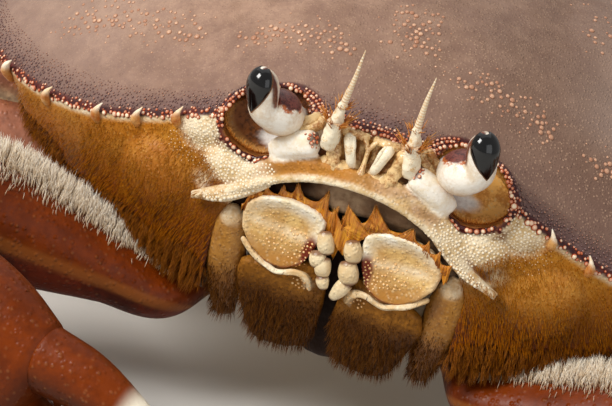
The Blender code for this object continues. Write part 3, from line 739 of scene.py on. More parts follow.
def band_granules(skin):
    """Fine dark granules on the back, crowded behind the edge."""
    rng = np.random.default_rng(12)
    count = 12000
    share = 0.52 * rng.uniform(0, 1, count)
    inland = 0.8 + 3.4 * rng.uniform(0, 1, count) ** 1.3
    edge = margin(share)
    edge[:, 0] *= rng.choice((-1, 1), count)
    reach = 1 - inland / np.hypot(edge[:, 0], edge[:, 1] - DOME_Y)
    starts = np.stack([edge[:, 0] * reach, DOME_Y + (edge[:, 1] - DOME_Y) * reach, np.full(count, 60.0)], -1)
    on, normals, kept = skin.along(starts, (0, 0, -1))
    inland = inland[kept]
    good = (normals[:, 2] > 0.3) & (on[:, 2] > edge_height(on[:, 0], on[:, 1]) + 0.1)
    on, normals, inland = on[good], normals[good], inland[good]
    gap = spread_out(on, 0.52)[:5700]
    on, normals, inland = on[gap], normals[gap], inland[gap]
    radii = rng.uniform(0.15, 0.27, len(on)) * (1.15 - 0.5 * ease(inland, 1.6, 4.2))
    shades = (rng.uniform(0, 0.5, len(on)) + 0.4 * ease(inland, 1.6, 4.4)
              + 0.3 * (rng.uniform(0, 1, len(on)) > 0.85))
    return beads("band_granules", on, normals, radii, np.clip(shades, 0, 1), "fine", 1.0)


# Crowds of larger granules on the back: half-breadths and depths of a line, its width, number and size
CROWDS = (
    (((9.8, 14.8), (13.4, 16.4), (18, 16.9), (22.6, 18), (26.4, 17.2)), 1.5, 84, 0.42),
    (((35, 19.5), (44, 24), (51.5, 27.5), (58.5, 29.5)), 1.7, 110, 0.42),
    (((2.5, 18.5), (1, 21.5), (2.2, 25.5)), 1.6, 40, 0.4), (((38, 36), (48, 35), (58, 37)), 2.4, 70, 0.46),
    (((56, 44), (60, 52), (60, 60)), 3, 80, 0.48), (((28, 46), (38, 50), (46, 58)), 3.4, 74, 0.45),
    (((3, 66), (6, 73), (4, 80)), 3.2, 80, 0.48), (((20, 60), (24, 70), (30, 78)), 3.6, 70, 0.43),
    (((34, 88), (28, 96), (18, 100)), 3, 60, 0.43), (((6, 47), (10, 50)), 2.4, 34, 0.43),
)


def crowd_granules(skin):
    rng = np.random.default_rng(13)
    starts, sizes = [], []
    for line, wide, count, size in CROWDS:
        for side, _ in SIDES:
            flat = smooth_path([(x, y, 0) for x, y in line], 50)[rng.integers(0, 50, count * 2)]
            off = rng.normal(0, 1, (count * 2, 2)) * wide
            near = 1 - np.clip(np.linalg.norm(off, axis=1) / (2.6 * wide), 0, 1)
            starts.append(np.stack([(flat[:, 0] + off[:, 0]) * side, flat[:, 1] + off[:, 1],
                                    np.full(count * 2, 60.0)], -1))
            sizes.append(size * (0.42 + 0.75 * near) * rng.uniform(0.7, 1.25, count * 2))
    starts, sizes = np.concatenate(starts), np.concatenate(sizes)
    on, normals, kept = skin.along(starts, (0, 0, -1))
    sizes = sizes[kept]
    gap = spread_out(on, 0.8)
    return beads("crowd_granules", on[gap], normals[gap], sizes[gap], rng.uniform(0, 1, len(gap)),
                 "large", 0.6, 0.05)


def face_pearls(skin):
    """Pale granules of the cheeks and the lobes round the orbits and mouth."""
    rng = np.random.default_rng(14)
    starts, sizes = [], []
    for middle, radii, count, size in (((19.4, -12.9), (6.8, 4), 2600, 0.31),
                                       ((27, -9), (4.4, 4.4), 1300, 0.28),
                                       ((12, -6), (3.4, 2), 90, 0.13), ((28.5, -13), (4.6, 3.6), 260, 0.16)):
        for side, _ in SIDES:
            places, far = in_oval(middle, radii, side, count, -60.0, rng)
            starts.append(places)
            sizes.append(size * rng.uniform(0.75, 1.15, count) * (1.1 - 0.35 * far))
    on, normals, kept = skin.along(np.concatenate(starts), (0, 1, 0))
    sizes, folded = np.concatenate(sizes)[kept], fold(on)
    good = on_face(on, 16, 0.9) & (near_line(folded, GROOVE) > 0.8) & (near_line(folded, FISSURE) > 0.5)
    on, normals, sizes = on[good], normals[good], sizes[good]
    gap = spread_out(on, 0.5)[:5700]
    on, normals, sizes = on[gap], normals[gap], sizes[gap]
    gold = ease(np.abs(on[:, 0]), 27, 36) * 0.8
    return beads("face_pearls", on, normals, sizes, rng.uniform(0.5, 1, len(on)) - gold, "fine", 0.6, 0.2)


def side_teeth():
    """The pale spines of the side edge, with the long last one, as one piece."""
    spines = []
    for side, _ in SIDES:
        for x, length in zip(TOOTH_X, TOOTH_LENGTH):
            near, ahead = front_margin(min(x, 82.8)), front_margin(min(x, 82.8) - 2.0)
            forward = unit(ahead - near)
            outward = unit(np.array((-forward[1], forward[0], 0)))
            outward = outward if outward[0] > 0 else -outward
            ahead = forward * length * (0.25 + 0.5 * x / HALF_WIDTH)
            tip = near + outward * length * 0.3 + ahead + np.array((0, 0, length * 0.72))
            root = near - outward * 0.9 - np.array((0, 0, 2.1))
            low = near + outward * 0.45 - np.array((0, 0, 0.7))
            middle = near + outward * 0.55 + (tip - near) * 0.45
            line = [(*root, 0.7, 0.7), (*low, 0.85, 0.75), (*middle, length * 0.2, length * 0.18),
                    (*tip, 0.1, 0.1)]
            spines.append(tube("spine", flipped(line, side), 10, 12, up=(0, 0.3, 1)))
        base = np.array((HALF_WIDTH - 3.5, WIDEST_Y + 0.5, float(margin_z(HALF_WIDTH)) + 0.2))
        tip = base + np.array((8, -2, 1.2))
        line = [(*base, 3, 2.6), (*(base + (tip - base) * 0.5), 1.8, 1.6), (*tip, 0.15, 0.15)]
        spines.append(tube("spine", flipped(line, side), 14, 10))
    made = joined(spines, "side_teeth")
    points = crab_points(made)
    mark(made, "along", ease(points[:, 2] - edge_height(points[:, 0], points[:, 1]), -0.5, 0.7))
    return made


def socket_lining(side, name):
    """The shallow bowl behind each eye: its front, a wall's thickness, and its back against the shell."""
    rows = 24

    def place(turn, row):
        wide = np.sin(row / rows * math.pi)
        rise = np.sqrt(np.clip(1 - wide ** 2, 0, 1)) * np.where(row <= rows / 2, 0.3, 1.0)
        form = np.stack([np.cos(turn * math.tau) * wide * side, rise, np.sin(turn * math.tau) * wide], -1)
        middle = both(ORBIT_CENTRE, side) + (0, 0.6, 0)
        return middle + form * (ORBIT_RADII * (1.03, 1, 1.03))

    made = fit_orbit(shaped_ball("orbit_lining_" + name, 64, rows, place), side)
    points = crab_points(made)
    points[:, 1] += 0.42 * np.clip(points[:, 2] - ORBIT_CENTRE[2], 0, None)
    x, y = np.abs(points[:, 0]), points[:, 1]
    roof = DOME_Z + (edge_height(x, y) - DOME_Z) * edge_reach(x, y) ** DOME_POWER
    points[:, 2] = np.minimum(points[:, 2], roof - 0.5)
    put_points(made, points)
    z = points[:, 2]
    off = from_orbit(np.stack([x, np.full(len(x), ORBIT_CENTRE[1]), z], -1))
    mark(made, "membrane", fade(np.hypot((x - 14.2) / (4.2 if side < 0 else 5.2), (z + 8.0) / 1.7),
                                0.75, 1.15))
    # Painted shade: the lining darkened at its top and deep inside, strongly in the right orbit and faintly
    # in the left.
    mark(made, "upper", ease(z, -4.5, -1.0) * (1.0 if side < 0 else 0.15))
    mark(made, "deep", (0.95 if side < 0 else 0.12) * (1 - 0.55 * ease(off, 0.8, 1.0)))
    return made


# ---------------------------------------------------------------- eyes and feelers

STALK = ((13, 3.2, -2.4, 2.3, 2.3), (14, 1.8, -2, 3.2, 3.2), (15.4, 0, -0.9, 3.8, 3.75))
EYE_CENTRE = {1: np.array((17.7, -3.2, 4.7)), -1: np.array((-18.15, -3.2, 3.5))}
EYE_LEAN = {1: unit((-0.12, -0.18, 0.98)), -1: unit((-0.2, -0.18, 0.97))}
EYE_HALF, EYE_GIRTH = 3.6, 2.55


def eye(side, name):
    """The stalk with its bulb, and the dark cornea that wraps the bulb's outer side down to a point."""
    centre, lean = EYE_CENTRE[side], EYE_LEAN[side]
    foot = centre - lean * EYE_HALF
    neck = (*(foot + lean * 0.2), 2.5, 2.5)
    head = [(*(centre + lean * EYE_HALF * t), EYE_GIRTH * g, EYE_GIRTH * g)
            for t, g in ((-0.4, 0.98), (0.1, 0.98), (0.5, 0.84), (0.78, 0.52), (0.9, 0.3))]
    stalk = tube("eyestalk_skin_" + name, flipped(STALK, side) + [neck] + head, 36, 48, up=(0, -1, 0.2),
                 blunt=(1, 0.5))
    outer = unit(np.array((side * 0.62, -0.9, 0)))
    outer = unit(outer - lean * (outer @ lean))
    beside = np.cross(lean, outer)
    heights = np.array((-1.02, -1, -0.86, -0.66, -0.42, -0.14, 0.14, 0.4, 0.62, 0.79, 0.91, 0.98, 1))
    half_turn = np.array((0, 3, 13, 27, 43, 60, 76, 88, 97, 106, 116, 128, 0))
    rows, columns = 40, 40
    steps = np.linspace(0, 1, len(heights))

    def place(turn, row):
        share = row / rows
        rise = np.interp(share, steps, heights)
        swing = np.radians(np.interp(share, steps, half_turn))
        girth = EYE_GIRTH * np.where(rise > 0.05, np.sqrt(np.clip(1 - ((rise - 0.05) / 0.98) ** 2, 0, 1)),
                                     1 - 0.02 * (rise - 0.05) ** 2)
        front = turn <= 0.5
        t = np.where(front, turn * 4 - 1, 3 - turn * 4)
        edge = np.abs(t)
        outside = girth * (1.0 + 0.11 * (1 - edge ** 5)
                           * np.sin(np.clip(share, 0, 1) * math.pi) ** 0.35) - 0.01
        radius = np.where(front, outside, girth * 0.74)
        angle = swing * t
        return (centre + lean * (EYE_HALF * rise)[:, None] + outer * (radius * np.cos(angle))[:, None]
                + beside * (radius * np.sin(angle))[:, None])

    cornea = shaped_ball("cornea_skin_" + name, columns, rows, place)
    local = crab_points(cornea) - centre
    rise = (local @ lean) / EYE_HALF
    wide = np.degrees(np.abs(np.arctan2(local @ beside, local @ outer)))
    mark(cornea, "edge", ease(wide - np.interp(rise, heights, half_turn), -8, -1) * (rise < 0.93))
    points = crab_points(stalk)
    saddle = both((13.9, -0.4, 2.1), side)
    off = np.linalg.norm((points - saddle) / (3.5, 3.2, 2.2), axis=1)
    mark(stalk, "saddle", fade(off + 0.16 * grain(points, 0.7), 0.62, 1.1))
    inner = unit(np.array((-side, -0.45, 0)))
    strip = [centre + lean * (EYE_HALF * t) + inner * (EYE_GIRTH * math.sqrt(1 - min(t * t, 0.96)))
             for t in (0.96, 0.8, 0.5, 0.1, -0.3, -0.62)]
    mark(stalk, "cap", fade(near_line(points, strip) + 0.12 * grain(points, 0.5), 0.5, 0.85))
    mark(stalk, "low", fade(points[:, 2], -5.0, -2.6))
    return stalk, cornea


ANTENNA = {
    1: ((7.6, 0.9, -4.2), (7.35, -0.7, -2.3), (7, -1.5, 1.7),
        (6.8, -2.2, 4.6), (7.1, -3.2, 10), (7.6, -4, 14.3)),
    -1: ((-7, 0.9, -4.2), (-6.2, -0.7, -2.2), (-5.9, -1.3, 1.3),
         (-5.4, -2, 4.7), (-4.6, -3.2, 10), (-4.1, -4, 15)),
}


def antenna(side, name):
    """Two stem joints and a ringed whip."""
    root, low, knee, neck, half, tip = (np.array(p) for p in ANTENNA[side])

    def joint(start, end, sizes):
        return [(*(start + (end - start) * t), g, g * 0.97) for t, g in sizes]

    first = joint(low, knee, ((-0.4, 1.2), (-0.1, 1.42), (0.25, 1.36), (0.6, 1.26), (0.86, 1.3), (0.99, 1.2),
                              (1.05, 0.9)))
    second = joint(knee, neck, ((-0.3, 1.08), (0.05, 1.06), (0.35, 0.9), (0.7, 0.78), (0.92, 0.76),
                                (1.02, 0.62)))
    third = (joint(neck, half, ((-0.12, 0.58), (0.2, 0.56), (1, 0.36)))
             + joint(half, tip, ((0.7, 0.18), (1, 0.06))))
    rings = 19

    def ringed(angle, share):
        step = share * rings % 1
        return 1 + 0.12 * (np.sin(step * math.pi) ** 0.7 - 0.6) * (1 - 0.5 * share)

    def uneven(angle, share):
        return (1 + 0.07 * np.sin(3 * angle + share * 7) + 0.05 * np.sin(2 * angle - share * 11)
                + 0.03 * np.sin(share * 29))

    parts = [tube("stem", first, 20, 22, up=FACING, profile=uneven, blunt=(0.6, 0.5)),
             tube("stem", second, 18, 18, up=FACING, profile=uneven, blunt=(0.6, 0.5)),
             tube("whip", third, 12, rings * 6, up=FACING, profile=ringed)]
    made = joined(parts, "antenna_skin_" + name)
    points = crab_points(made)
    whip = unit(tip - neck)
    share = ((points - neck) @ whip) / np.linalg.norm(tip - neck)
    mark(made, "joint", np.where(share > 0.02, (np.cos(np.clip(share, 0, 1) * rings * math.tau) + 1) / 2,
                                 1 - ease(np.abs((points - knee) @ unit(neck - low)), 0.05, 0.35)))
    return made


def antennule(side, name):
    """The small folded feeler: a stout joint lying back, with its thin branch folded down over it."""
    stout = [
        (3.5, 1.4, -1.4, 0.65, 0.65), (3.25, 0.1, -1.5, 0.95, 0.9), (2.9, -0.35, -2.4, 0.9, 0.85),
        (2.4, -0.4, -3.8, 0.85, 0.8), (1.9, -0.3, -5.2, 0.75, 0.7), (1.6, 0.2, -5.8, 0.5, 0.5),
    ]
    branch = [
        (2.6, -0.2, -1, 0.3, 0.3), (2.2, -0.8, -1.9, 0.34, 0.34), (1.9, -0.9, -3.2, 0.28, 0.28),
        (1.6, -0.7, -4.6, 0.16, 0.16),
    ]
    parts = [tube("stout", flipped(stout, side), 16, 20, up=FACING),
             tube("branch", flipped(branch, side), 10, 22, up=FACING)]
    return joined(parts, "antennule_skin_" + name)


def creased(angle, share):
    """An uneven fold of skin."""
    return (1 + 0.13 * np.sin(3 * angle + share * 9) + 0.08 * np.sin(5 * angle - share * 13)
            + 0.06 * np.sin(share * 31))


def brow(side, name):
    """Small folds between the feelers and beside the eye."""
    folds = (((5.6, 1.6, -0.5, 0.9, 0.9), (5.7, 0.6, -1.6, 1.15, 1), (5.3, 0.3, -3.4, 1, 0.9),
              (5, 0.2, -5.2, 1.2, 1), (4.5, 0, -7, 1, 1)),
             ((0.9, 1.3, -0.9, 0.7, 0.6), (2.2, 0.7, -0.8, 0.7, 0.6), (4.4, 0.9, -0.8, 0.8, 0.7)),
             ((0.7, 0.9, -6.4, 0.9, 0.8), (2.6, 0.3, -6.9, 1.5, 1), (5, 0.2, -7, 1.5, 1),
              (7.2, 0.5, -7.4, 1, 0.8)),
             ((1, 1.8, -1.6, 0.6, 0.5), (1.2, 1.6, -3.6, 0.6, 0.5), (1.1, 1.2, -6.2, 0.8, 0.6)),
             ((9.4, 2.6, -0.6, 0.7, 0.8), (10.8, 1.7, -1.8, 0.9, 0.8), (11.8, 1.4, -3.2, 0.8, 0.7),
              (12.8, 1.2, -4.8, 0.7, 0.7), (13.8, 1.6, -6.6, 0.5, 0.5)),
             ((8.4, 2.2, -0.7, 0.6, 0.7), (8.8, 1, -1.5, 0.8, 0.7), (10, 0.7, -2.3, 0.7, 0.6),
              (11.6, 1, -3.2, 0.5, 0.5)))
    return joined([tube("fold", flipped(line, side), 18, 26, up=FACING, profile=creased) for line in folds],
                  "brow_folds_" + name)


def septum():
    """The narrow pillar under the middle tooth, forked at its top."""
    lines = [((0, 0.7, -2.2, 0.42, 0.5), (0.05, 0.1, -3.6, 0.36, 0.45), (0.05, -0.2, -5.2, 0.45, 0.5),
              (-0.1, -0.6, -7.2, 0.85, 0.6))]
    lines += [((1.3 * k, 1, -0.7, 0.45, 0.45), (0.6 * k, 0.7, -1.5, 0.4, 0.42),
               (0.05 * k, 0.6, -2.6, 0.36, 0.4)) for k in (1, -1)]
    return joined([tube("pillar", line, 14, 16, up=FACING) for line in lines], "septum")


def cheek_ridge(side, name):
    """The white keel at each end of the arch over the mouth."""
    grow = 1.0 if side < 0 else 0.75
    keel = [(x, y, z, wide * grow, deep) for x, y, z, wide, deep in
            ((14.4, 1.5, -14.2, 0.7, 0.8), (17.6, 1.5, -16.3, 1.2, 1), (20.8, 1.7, -18.1, 1.45, 1.1),
             (23.6, 2.3, -19.5, 1.1, 0.9), (26, 3.2, -20.5, 0.4, 0.4))]
    return tube("cheek_ridge_" + name, flipped(keel, side), 28, 50, up=(0, -1, 0.4))


def ridge_beads(ridges):
    rng = np.random.default_rng(15)
    line = np.array(((14.8, 0, -15), (17.8, -0.2, -17.3), (20.8, 0, -19.3), (23.8, 0.8, -20.6),
                     (26, 2, -21)))
    spots, radii = [], []
    for side, _ in SIDES:
        for lift, step, size in ((0, 0.8, 0.36), (0.8, 0.6, 0.25), (1.4, 0.62, 0.22), (2, 0.7, 0.2),
                                 (2.6, 0.8, 0.18)):
            row = row_of((line + (0, -0.6, lift)) * (side, 1, 1), step, rng, 0.3)
            spots.append(row + rng.normal(0, 0.08, row.shape))
            radii.append(size * rng.uniform(0.7, 1.15, len(row)))
    on, normals = ridges.nearest(np.concatenate(spots))
    radii = np.concatenate(radii)
    kept = spread_out(on, 0.42)
    return beads("ridge_beads", on[kept], normals[kept], radii[kept], rng.uniform(0.6, 1, len(kept)),
                 "large", 0.8)


def palate():
    """The pale inner lip behind the arch over the mouth."""
    half = (
        (0, 3.2, -11.6, 2, 3.2), (6, 3.6, -12.2, 2, 2.9), (11.5, 4.2, -14.2, 1.9, 2.2),
        (16, 5, -17.6, 1.6, 1.6), (19, 5.6, -21, 1.2, 1),
    )
    made = tube("palate", flipped(half[:0:-1], -1) + list(half), 28, 80, profile=creased)
    x = crab_points(made)[:, 0]
    # Painted shade: the lip painted near black towards its ends, fully on the crab's right side and partly
    # on its left.
    mark(made, "deep", np.maximum(ease(-x, 4.5, 8.5), 0.6 * ease(x, 8, 12)))
    return made


def shaded_inner_jaws():
    """The deeper jaw feet as a plain plate painted near black behind the gap between the lower plates:
    painted shade.
    """
    line = [(0, 9.5, -24, 5, 0.8), (0, 10.5, -33, 5.5, 1), (0, 12, -43.5, 4.5, 0.8)]
    made = tube("shaded_inner_jaws", line, 24, 24, up=(0, -1, 0), profile=creased)
    # painted shade all over
    mark(made, "deep", 1.0)
    return made


# ---------------------------------------------------------------- mouthparts

COIN = (
    (17.1, -19.9), (16.7, -18), (14.6, -16), (12, -15.2), (9.5, -14.9), (7, -15.2), (4.6, -15.9),
    (3.2, -17.2), (3.3, -20), (4.2, -23.2), (5.6, -26), (8.2, -27.4), (11.3, -27.3), (14.6, -25.2),
    (16.6, -22.6),
)


def coin(side, name):
    """The upper plate of the outer jaw foot: a dished plate with a raised rim."""
    points = np.array(COIN + COIN[:1])
    along = stretch(points)
    centre = np.array((10.1, -21.4))
    shares = np.array((0, .2, .4, .58, .72, .82, .9, .955, .99, 1, .97, .8, .4, 0))
    depth = np.array((1.5, 1.42, 1.2, .95, .62, .3, .08, .05, .35, 1, 2, 2.8, 3, 3))
    rows = len(shares) - 1

    def place(turn, row):
        r = row.astype(int)
        wanted = turn * along[-1]
        ring = np.stack([np.interp(wanted, along, points[:, k]) for k in (0, 1)], -1)
        flat = centre + (ring - centre) * shares[r][:, None]
        y = 0.4 + depth[r] + 0.012 * (flat[:, 0] - 10) ** 2 - (flat[:, 1] + 21.4) * 0.05
        front = r < 8
        y = y + 0.7 * np.exp(-((flat[:, 0] - 5.4) / 1.8) ** 2 - ((flat[:, 1] + 24.4) / 2.4) ** 2) * front
        y = y - 0.55 * np.exp(-((flat[:, 0] - 9.5) / 5.5) ** 2 - ((flat[:, 1] + 22.6) / 2.2) ** 2) * front
        return np.stack([flat[:, 0] * side, y, flat[:, 1]], -1)

    made = shaped_ball("maxilliped_merus_skin_" + name, 96, rows, place)
    apply(made, "SUBSURF", levels=1, render_levels=1)
    smooth_faces(made)
    flat = crab_points(made)
    x, z = np.abs(flat[:, 0]), flat[:, 2]
    angle = np.arctan2(points[:-1, 1] - centre[1], points[:-1, 0] - centre[0])
    order = np.argsort(angle)
    far = np.interp(np.arctan2(z - centre[1], x - centre[0]), angle[order],
                    np.hypot(*(points[:-1] - centre).T)[order], period=math.tau)
    out = np.hypot(x - centre[0], z - centre[1]) / far
    # The rim mark is pale along the rim, whitest on its upper side, and in a faint band across the plate's
    # upper part: the rim's own pale colour with a painted highlight on top.
    high = ease(z + (10 - x) * 0.12, -22.5, -18.5)
    rim = np.maximum(ease(out, 0.7, 0.97) * ease(z, -26, -20), ease(out, 0.5, 0.9) * high)
    rim = rim * (1 - 0.65 * ease(x, 12, 16.5))
    mark(made, "rim", np.maximum(rim, 0.4 * np.exp(-((z + 20.9 - (x - 10) * 0.1) / 0.9) ** 2)
                                 * fade(np.abs(x - 10), 4, 8)))
    mark(made, "patch", np.maximum(spot(x, z, 4.7, -23.4, 1.6, 3.5),
                                   0.8 * fade(np.abs(out - 0.95), 0.0, 0.08) * (z < -23) * (x < 12)))
    mark(made, "low", fade(z + (x - 9) * 0.1, -26, -21))
    return made


def plate_pearls(plates):
    """Granules on the lower half of each upper plate and on the ridge under it."""
    rng = np.random.default_rng(16)
    starts, sizes = [], []
    for middle, radii, count, size in (
            ((8, -22.6), (4.4, 2.6), 150, 0.21), ((5.8, -24.2), (1.6, 2.4), 60, 0.2),
            ((4.8, -29), (1.9, 1.4), 44, 0.2), ((13.6, -21.4), (3, 3.4), 50, 0.13)):
        for side, _ in SIDES:
            starts.append(in_oval(middle, radii, side, count, -30.0, rng)[0])
            sizes.append(size * rng.uniform(0.6, 1.2, count))
    on, normals, kept = plates.along(np.concatenate(starts), (0, 1, 0))
    sizes = np.concatenate(sizes)[kept]
    gap = spread_out(on, 0.52)
    return beads("plate_pearls", on[gap], normals[gap], sizes[gap], rng.uniform(0.3, 1, len(gap)),
                 "large", 0.7)


# Wet hair over each upper plate: the line it grows from, and its top edge as low points and spikes in turn
WEB = {
    1: (((17.7, -20.8), (17, -18.9), (15.2, -17.5), (12.5, -16.4), (8.9, -15.7), (5.3, -15.7),
         (3, -16.9), (1.2, -18.8), (0.2, -21.6)),
        ((18.2, -19.4), (18, -16.9), (16.7, -17.3), (15.6, -15.2), (14.6, -16.1), (13.5, -14.2),
         (12.6, -15.1), (10.5, -12.9), (7.3, -14.5), (3.7, -11.1), (2, -14.9), (-0.5, -12.7),
         (-1, -16.3), (-2.5, -14), (-1.2, -19.5))),
    -1: (((-17.4, -20), (-16.8, -17.9), (-13.5, -16.3), (-9.9, -15.6), (-6.3, -16.2), (-3.6, -17.6),
          (-1.8, -20), (-0.5, -23)),
         ((-17.6, -18.6), (-16.4, -15.8), (-15.8, -16.3), (-15.4, -14.9), (-14.7, -15.5), (-14.2, -14.1),
          (-12.5, -15.1), (-11.6, -13.2), (-10.3, -14.1), (-9.4, -11.9), (-6.5, -14.2), (-4.2, -11.5),
          (-3.1, -15), (-2.2, -13.7), (-1.5, -16.3), (-0.8, -14.8), (0.2, -19))),
}


def mouth_web(side, name):
    """The wet hair over each upper plate, run together into a web with a scalloped edge and spikes."""
    base, top = (np.array(line) for line in WEB[side])
    base_step, top_step = stretch(base), stretch(top)
    crest, shares, even = [], [], np.linspace(0, 1, 12, endpoint=False)
    for i, (low, high) in enumerate(zip(top[:-1], top[1:])):
        t = 1 - (1 - even) ** 1.5 if i % 2 == 0 else even ** 1.5
        rise = t ** 2.9 if i % 2 == 0 else 1 - (1 - t) ** 2.9
        crest.append(np.stack([low[0] + (high[0] - low[0]) * t, low[1] + (high[1] - low[1]) * rise], -1))
        shares.append((top_step[i] + (top_step[i + 1] - top_step[i]) * t) / top_step[-1])
    crest, shares = np.concatenate(crest), np.concatenate(shares)
    foot = np.stack([np.interp(shares, base_step / base_step[-1], base[:, k]) for k in (0, 1)], -1)
    ahead = 0.35 * side

    def place(turn, row):
        r = np.clip(row.astype(int), 0, len(crest) - 1)
        rise = np.where(turn <= 0.5, turn * 2, 2 - turn * 2) * 1.22 - 0.22
        flat = foot[r] + (crest[r] - foot[r]) * rise[:, None]
        thick = 0.34 * (1 - 0.86 * np.clip(rise, 0, 1)) * np.where(turn <= 0.5, -1, 1)
        ripple = 0.16 * np.sin(flat[:, 0] * 5.2) * (1 - rise) + 0.08 * np.sin(flat[:, 0] * 13.0)
        y = 1.7 - ahead - 2.3 * np.clip(rise, 0, 1) + 1.5 * np.clip(rise, 0, 1) ** 2 + thick + ripple
        return np.stack([flat[:, 0], y, flat[:, 1]], -1)

    made = shaped_ball("mouth_web_" + name, 20, len(crest), place)
    points = crab_points(made)
    near = np.array([np.argmin((crest[:, 0] - p[0]) ** 2 + (crest[:, 1] - p[2]) ** 2) for p in points])
    mark(made, "along", np.clip(1 - np.linalg.norm(points[:, ::2] - crest[near], axis=1) / 2.5, 0, 1))
    return made


# The joints of each folded palp: the start and end of each, and its half-breadth at both
PALP_JOINTS = {
    1: (((1.7, -18.7), (2.6, -21.6), 1.35, 1.5), ((1.9, -22.5), (2.9, -25.4), 1.55, 1.7),
        ((2.5, -26.1), (0.9, -29.3), 1.5, 0.8)),
    -1: (((-2.9, -18.7), (-2, -21.7), 1.3, 1.45), ((-3.2, -22.5), (-2.8, -24.4), 1.4, 1.3),
         ((-2.1, -23.2), (-1.6, -25.8), 1.35, 1.3), ((-1.5, -26.4), (-0.8, -28), 1.2, 0.8)),
}


def jaw_foot(side, name):
    """Basal plate, folded palp and outer branch below and beside the upper plate."""
    plate = [
        (7.2, 9.8, -43.2, 5, 2), (7.6, 7.6, -39, 6.4, 2.4), (8.2, 5.4, -33.5, 7.2, 2.3),
        (9, 3.8, -29.6, 7.3, 1.9), (9.6, 3.2, -27.4, 6.3, 1.4),
    ]

    def ridged(angle, share):
        return 1 + 0.035 * np.cos(3 * angle) + 0.02 * np.cos(5 * angle + share * 9)

    keel = (
        (15.8, 1.8, -24.8, 0.4, 0.45), (13.4, 1.2, -26.5, 0.55, 0.6), (11, 0.8, -27.5, 0.5, 0.55),
        (9.2, 0.7, -28, 0.4, 0.5), (7.8, 0.7, -27.7, 0.4, 0.45), (6.2, 0.7, -27.1, 0.5, 0.5),
        (4.8, 0.9, -27.2, 0.6, 0.6), (3.6, 1.3, -28.3, 0.6, 0.6), (3.2, 1.8, -29.6, 0.4, 0.4),
    )
    ischium = joined([tube("plate", flipped(plate, side), 48, 44, up=(0, -1, 0), profile=ridged,
                           blunt=(0.5, 0.2), square=0.8),
                      tube("keel", flipped(keel, side), 16, 60, up=(0, -1, 0), profile=creased)],
                     "maxilliped_ischium_skin_" + name)
    points = crab_points(ischium)
    mark(ischium, "ridge", fade(near_line(fold(points), keel), 0.8, 1.3))
    # Painted shade: the basal plate darker towards its bottom.
    mark(ischium, "low", ease(-points[:, 2], 28.5, 35))
    parts = []
    for (x0, z0), (x1, z1), wide, narrow in PALP_JOINTS[side]:
        line = [(x0 + (x1 - x0) * t, 0.9 - 0.5 * math.sin(t * math.pi), z0 + (z1 - z0) * t,
                 (wide + (narrow - wide) * t) * g, (wide + (narrow - wide) * t) * g * 0.85)
                for t, g in ((0, 0.84), (0.25, 1), (0.75, 1), (1, 0.84))]
        part = tube("palp", line, 24, 14, up=(0, -1, 0), blunt=(0.3, 0.3), square=0.88)
        share = ((crab_points(part) - (x0, 0, z0)) @ np.array((x1 - x0, 0, z1 - z0))
                 / ((x1 - x0) ** 2 + (z1 - z0) ** 2))
        mark(part, "patch", 0.85 * np.maximum(1 - ease(share, -0.1, 0.06), ease(share, 0.94, 1.08)))
        parts.append(part)
    palp = joined(parts, "maxilliped_palp_skin_" + name)
    branch = [
        (17.3, 10, -42, 1.9, 1.6), (18, 7, -36, 2.8, 1.9), (18.6, 5.4, -30, 3.1, 2),
        (18.8, 4.6, -25, 2.8, 1.8), (18.9, 4, -22.6, 2.2, 1.5), (19.2, 3.9, -21, 1.2, 1),
    ]
    exopod = tube("maxilliped_exopod_skin_" + name, flipped(branch, side), 28, 40, up=(0, -1, 0),
                  blunt=(0.3, 0.6),
                  profile=lambda angle, share: 1 + 0.05 * np.cos(2 * angle - 0.6) + 0.03 * np.cos(3 * angle))
    points = crab_points(exopod)
    mark(exopod, "head", 0.75 * spot(np.abs(points[:, 0]), points[:, 2], 19.0, -21.4, 2.4, 2.6))
    mark(exopod, "low", ease(-points[:, 2], 26, 38))
    return ischium, palp, exopod


# ---------------------------------------------------------------- limbs

LEGS = (
    ((22, 37.5, -36), (80, 27, -35), (99, 16, -30), (121, 5, -39), (141, -7, -64)),
    ((22.6, 51, -36), (88, 47.5, -30), (109, 43.5, -25.5), (134, 40, -36), (157, 36, -64)),
    ((21.6, 64, -36), (85, 74, -30.5), (105, 80, -26.5), (129, 88, -37), (151, 95.5, -64)),
    ((17.4, 76, -36), (65, 98, -32), (81, 110, -30), (99, 123.5, -40), (114, 135, -64)),
)
LEG_GIRTH = (1, 1.02, 0.98, 0.86)
MERUS = ((0, 4, 4.6), (0.16, 4.8, 5), (0.3, 5.6, 5.9), (0.55, 6, 6.4), (0.85, 5.7, 6.3), (0.96, 4.9, 5.6))
CARPUS = ((0.04, 3.9, 4.4), (0.3, 5.2, 5.8), (0.7, 5.5, 6.1), (0.95, 4.6, 5.3))
PROPODUS = ((0.04, 3.7, 4.6), (0.3, 4.4, 5.6), (0.7, 4.1, 5.2), (0.96, 3.2, 4.1))
DACTYL = ((0.03, 2.8, 3.7), (0.25, 2.7, 3.4), (0.55, 2.1, 2.5), (0.85, 1.35, 1.55), (1, 0.85, 0.85))


def legged(angle, share):
    """A leg's section: flattened sides with a groove along each, and a keel above."""
    groove = np.exp(-((np.abs(np.cos(angle)) - 1) / 0.12) ** 2)
    keel = np.exp(-((np.sin(angle) - 1) / 0.06) ** 2)
    return (1 + 0.07 * keel - 0.07 * groove * np.sin(np.clip(share, 0, 1) * math.pi)
            + 0.03 * np.cos(4 * angle))


def limb_axes(start, end):
    """The direction of a straight segment, and those across it and upwards from it."""
    axis = unit(end - start)
    across = unit(np.cross(axis, (0, 0, 1)))
    return axis, across, np.cross(across, axis)


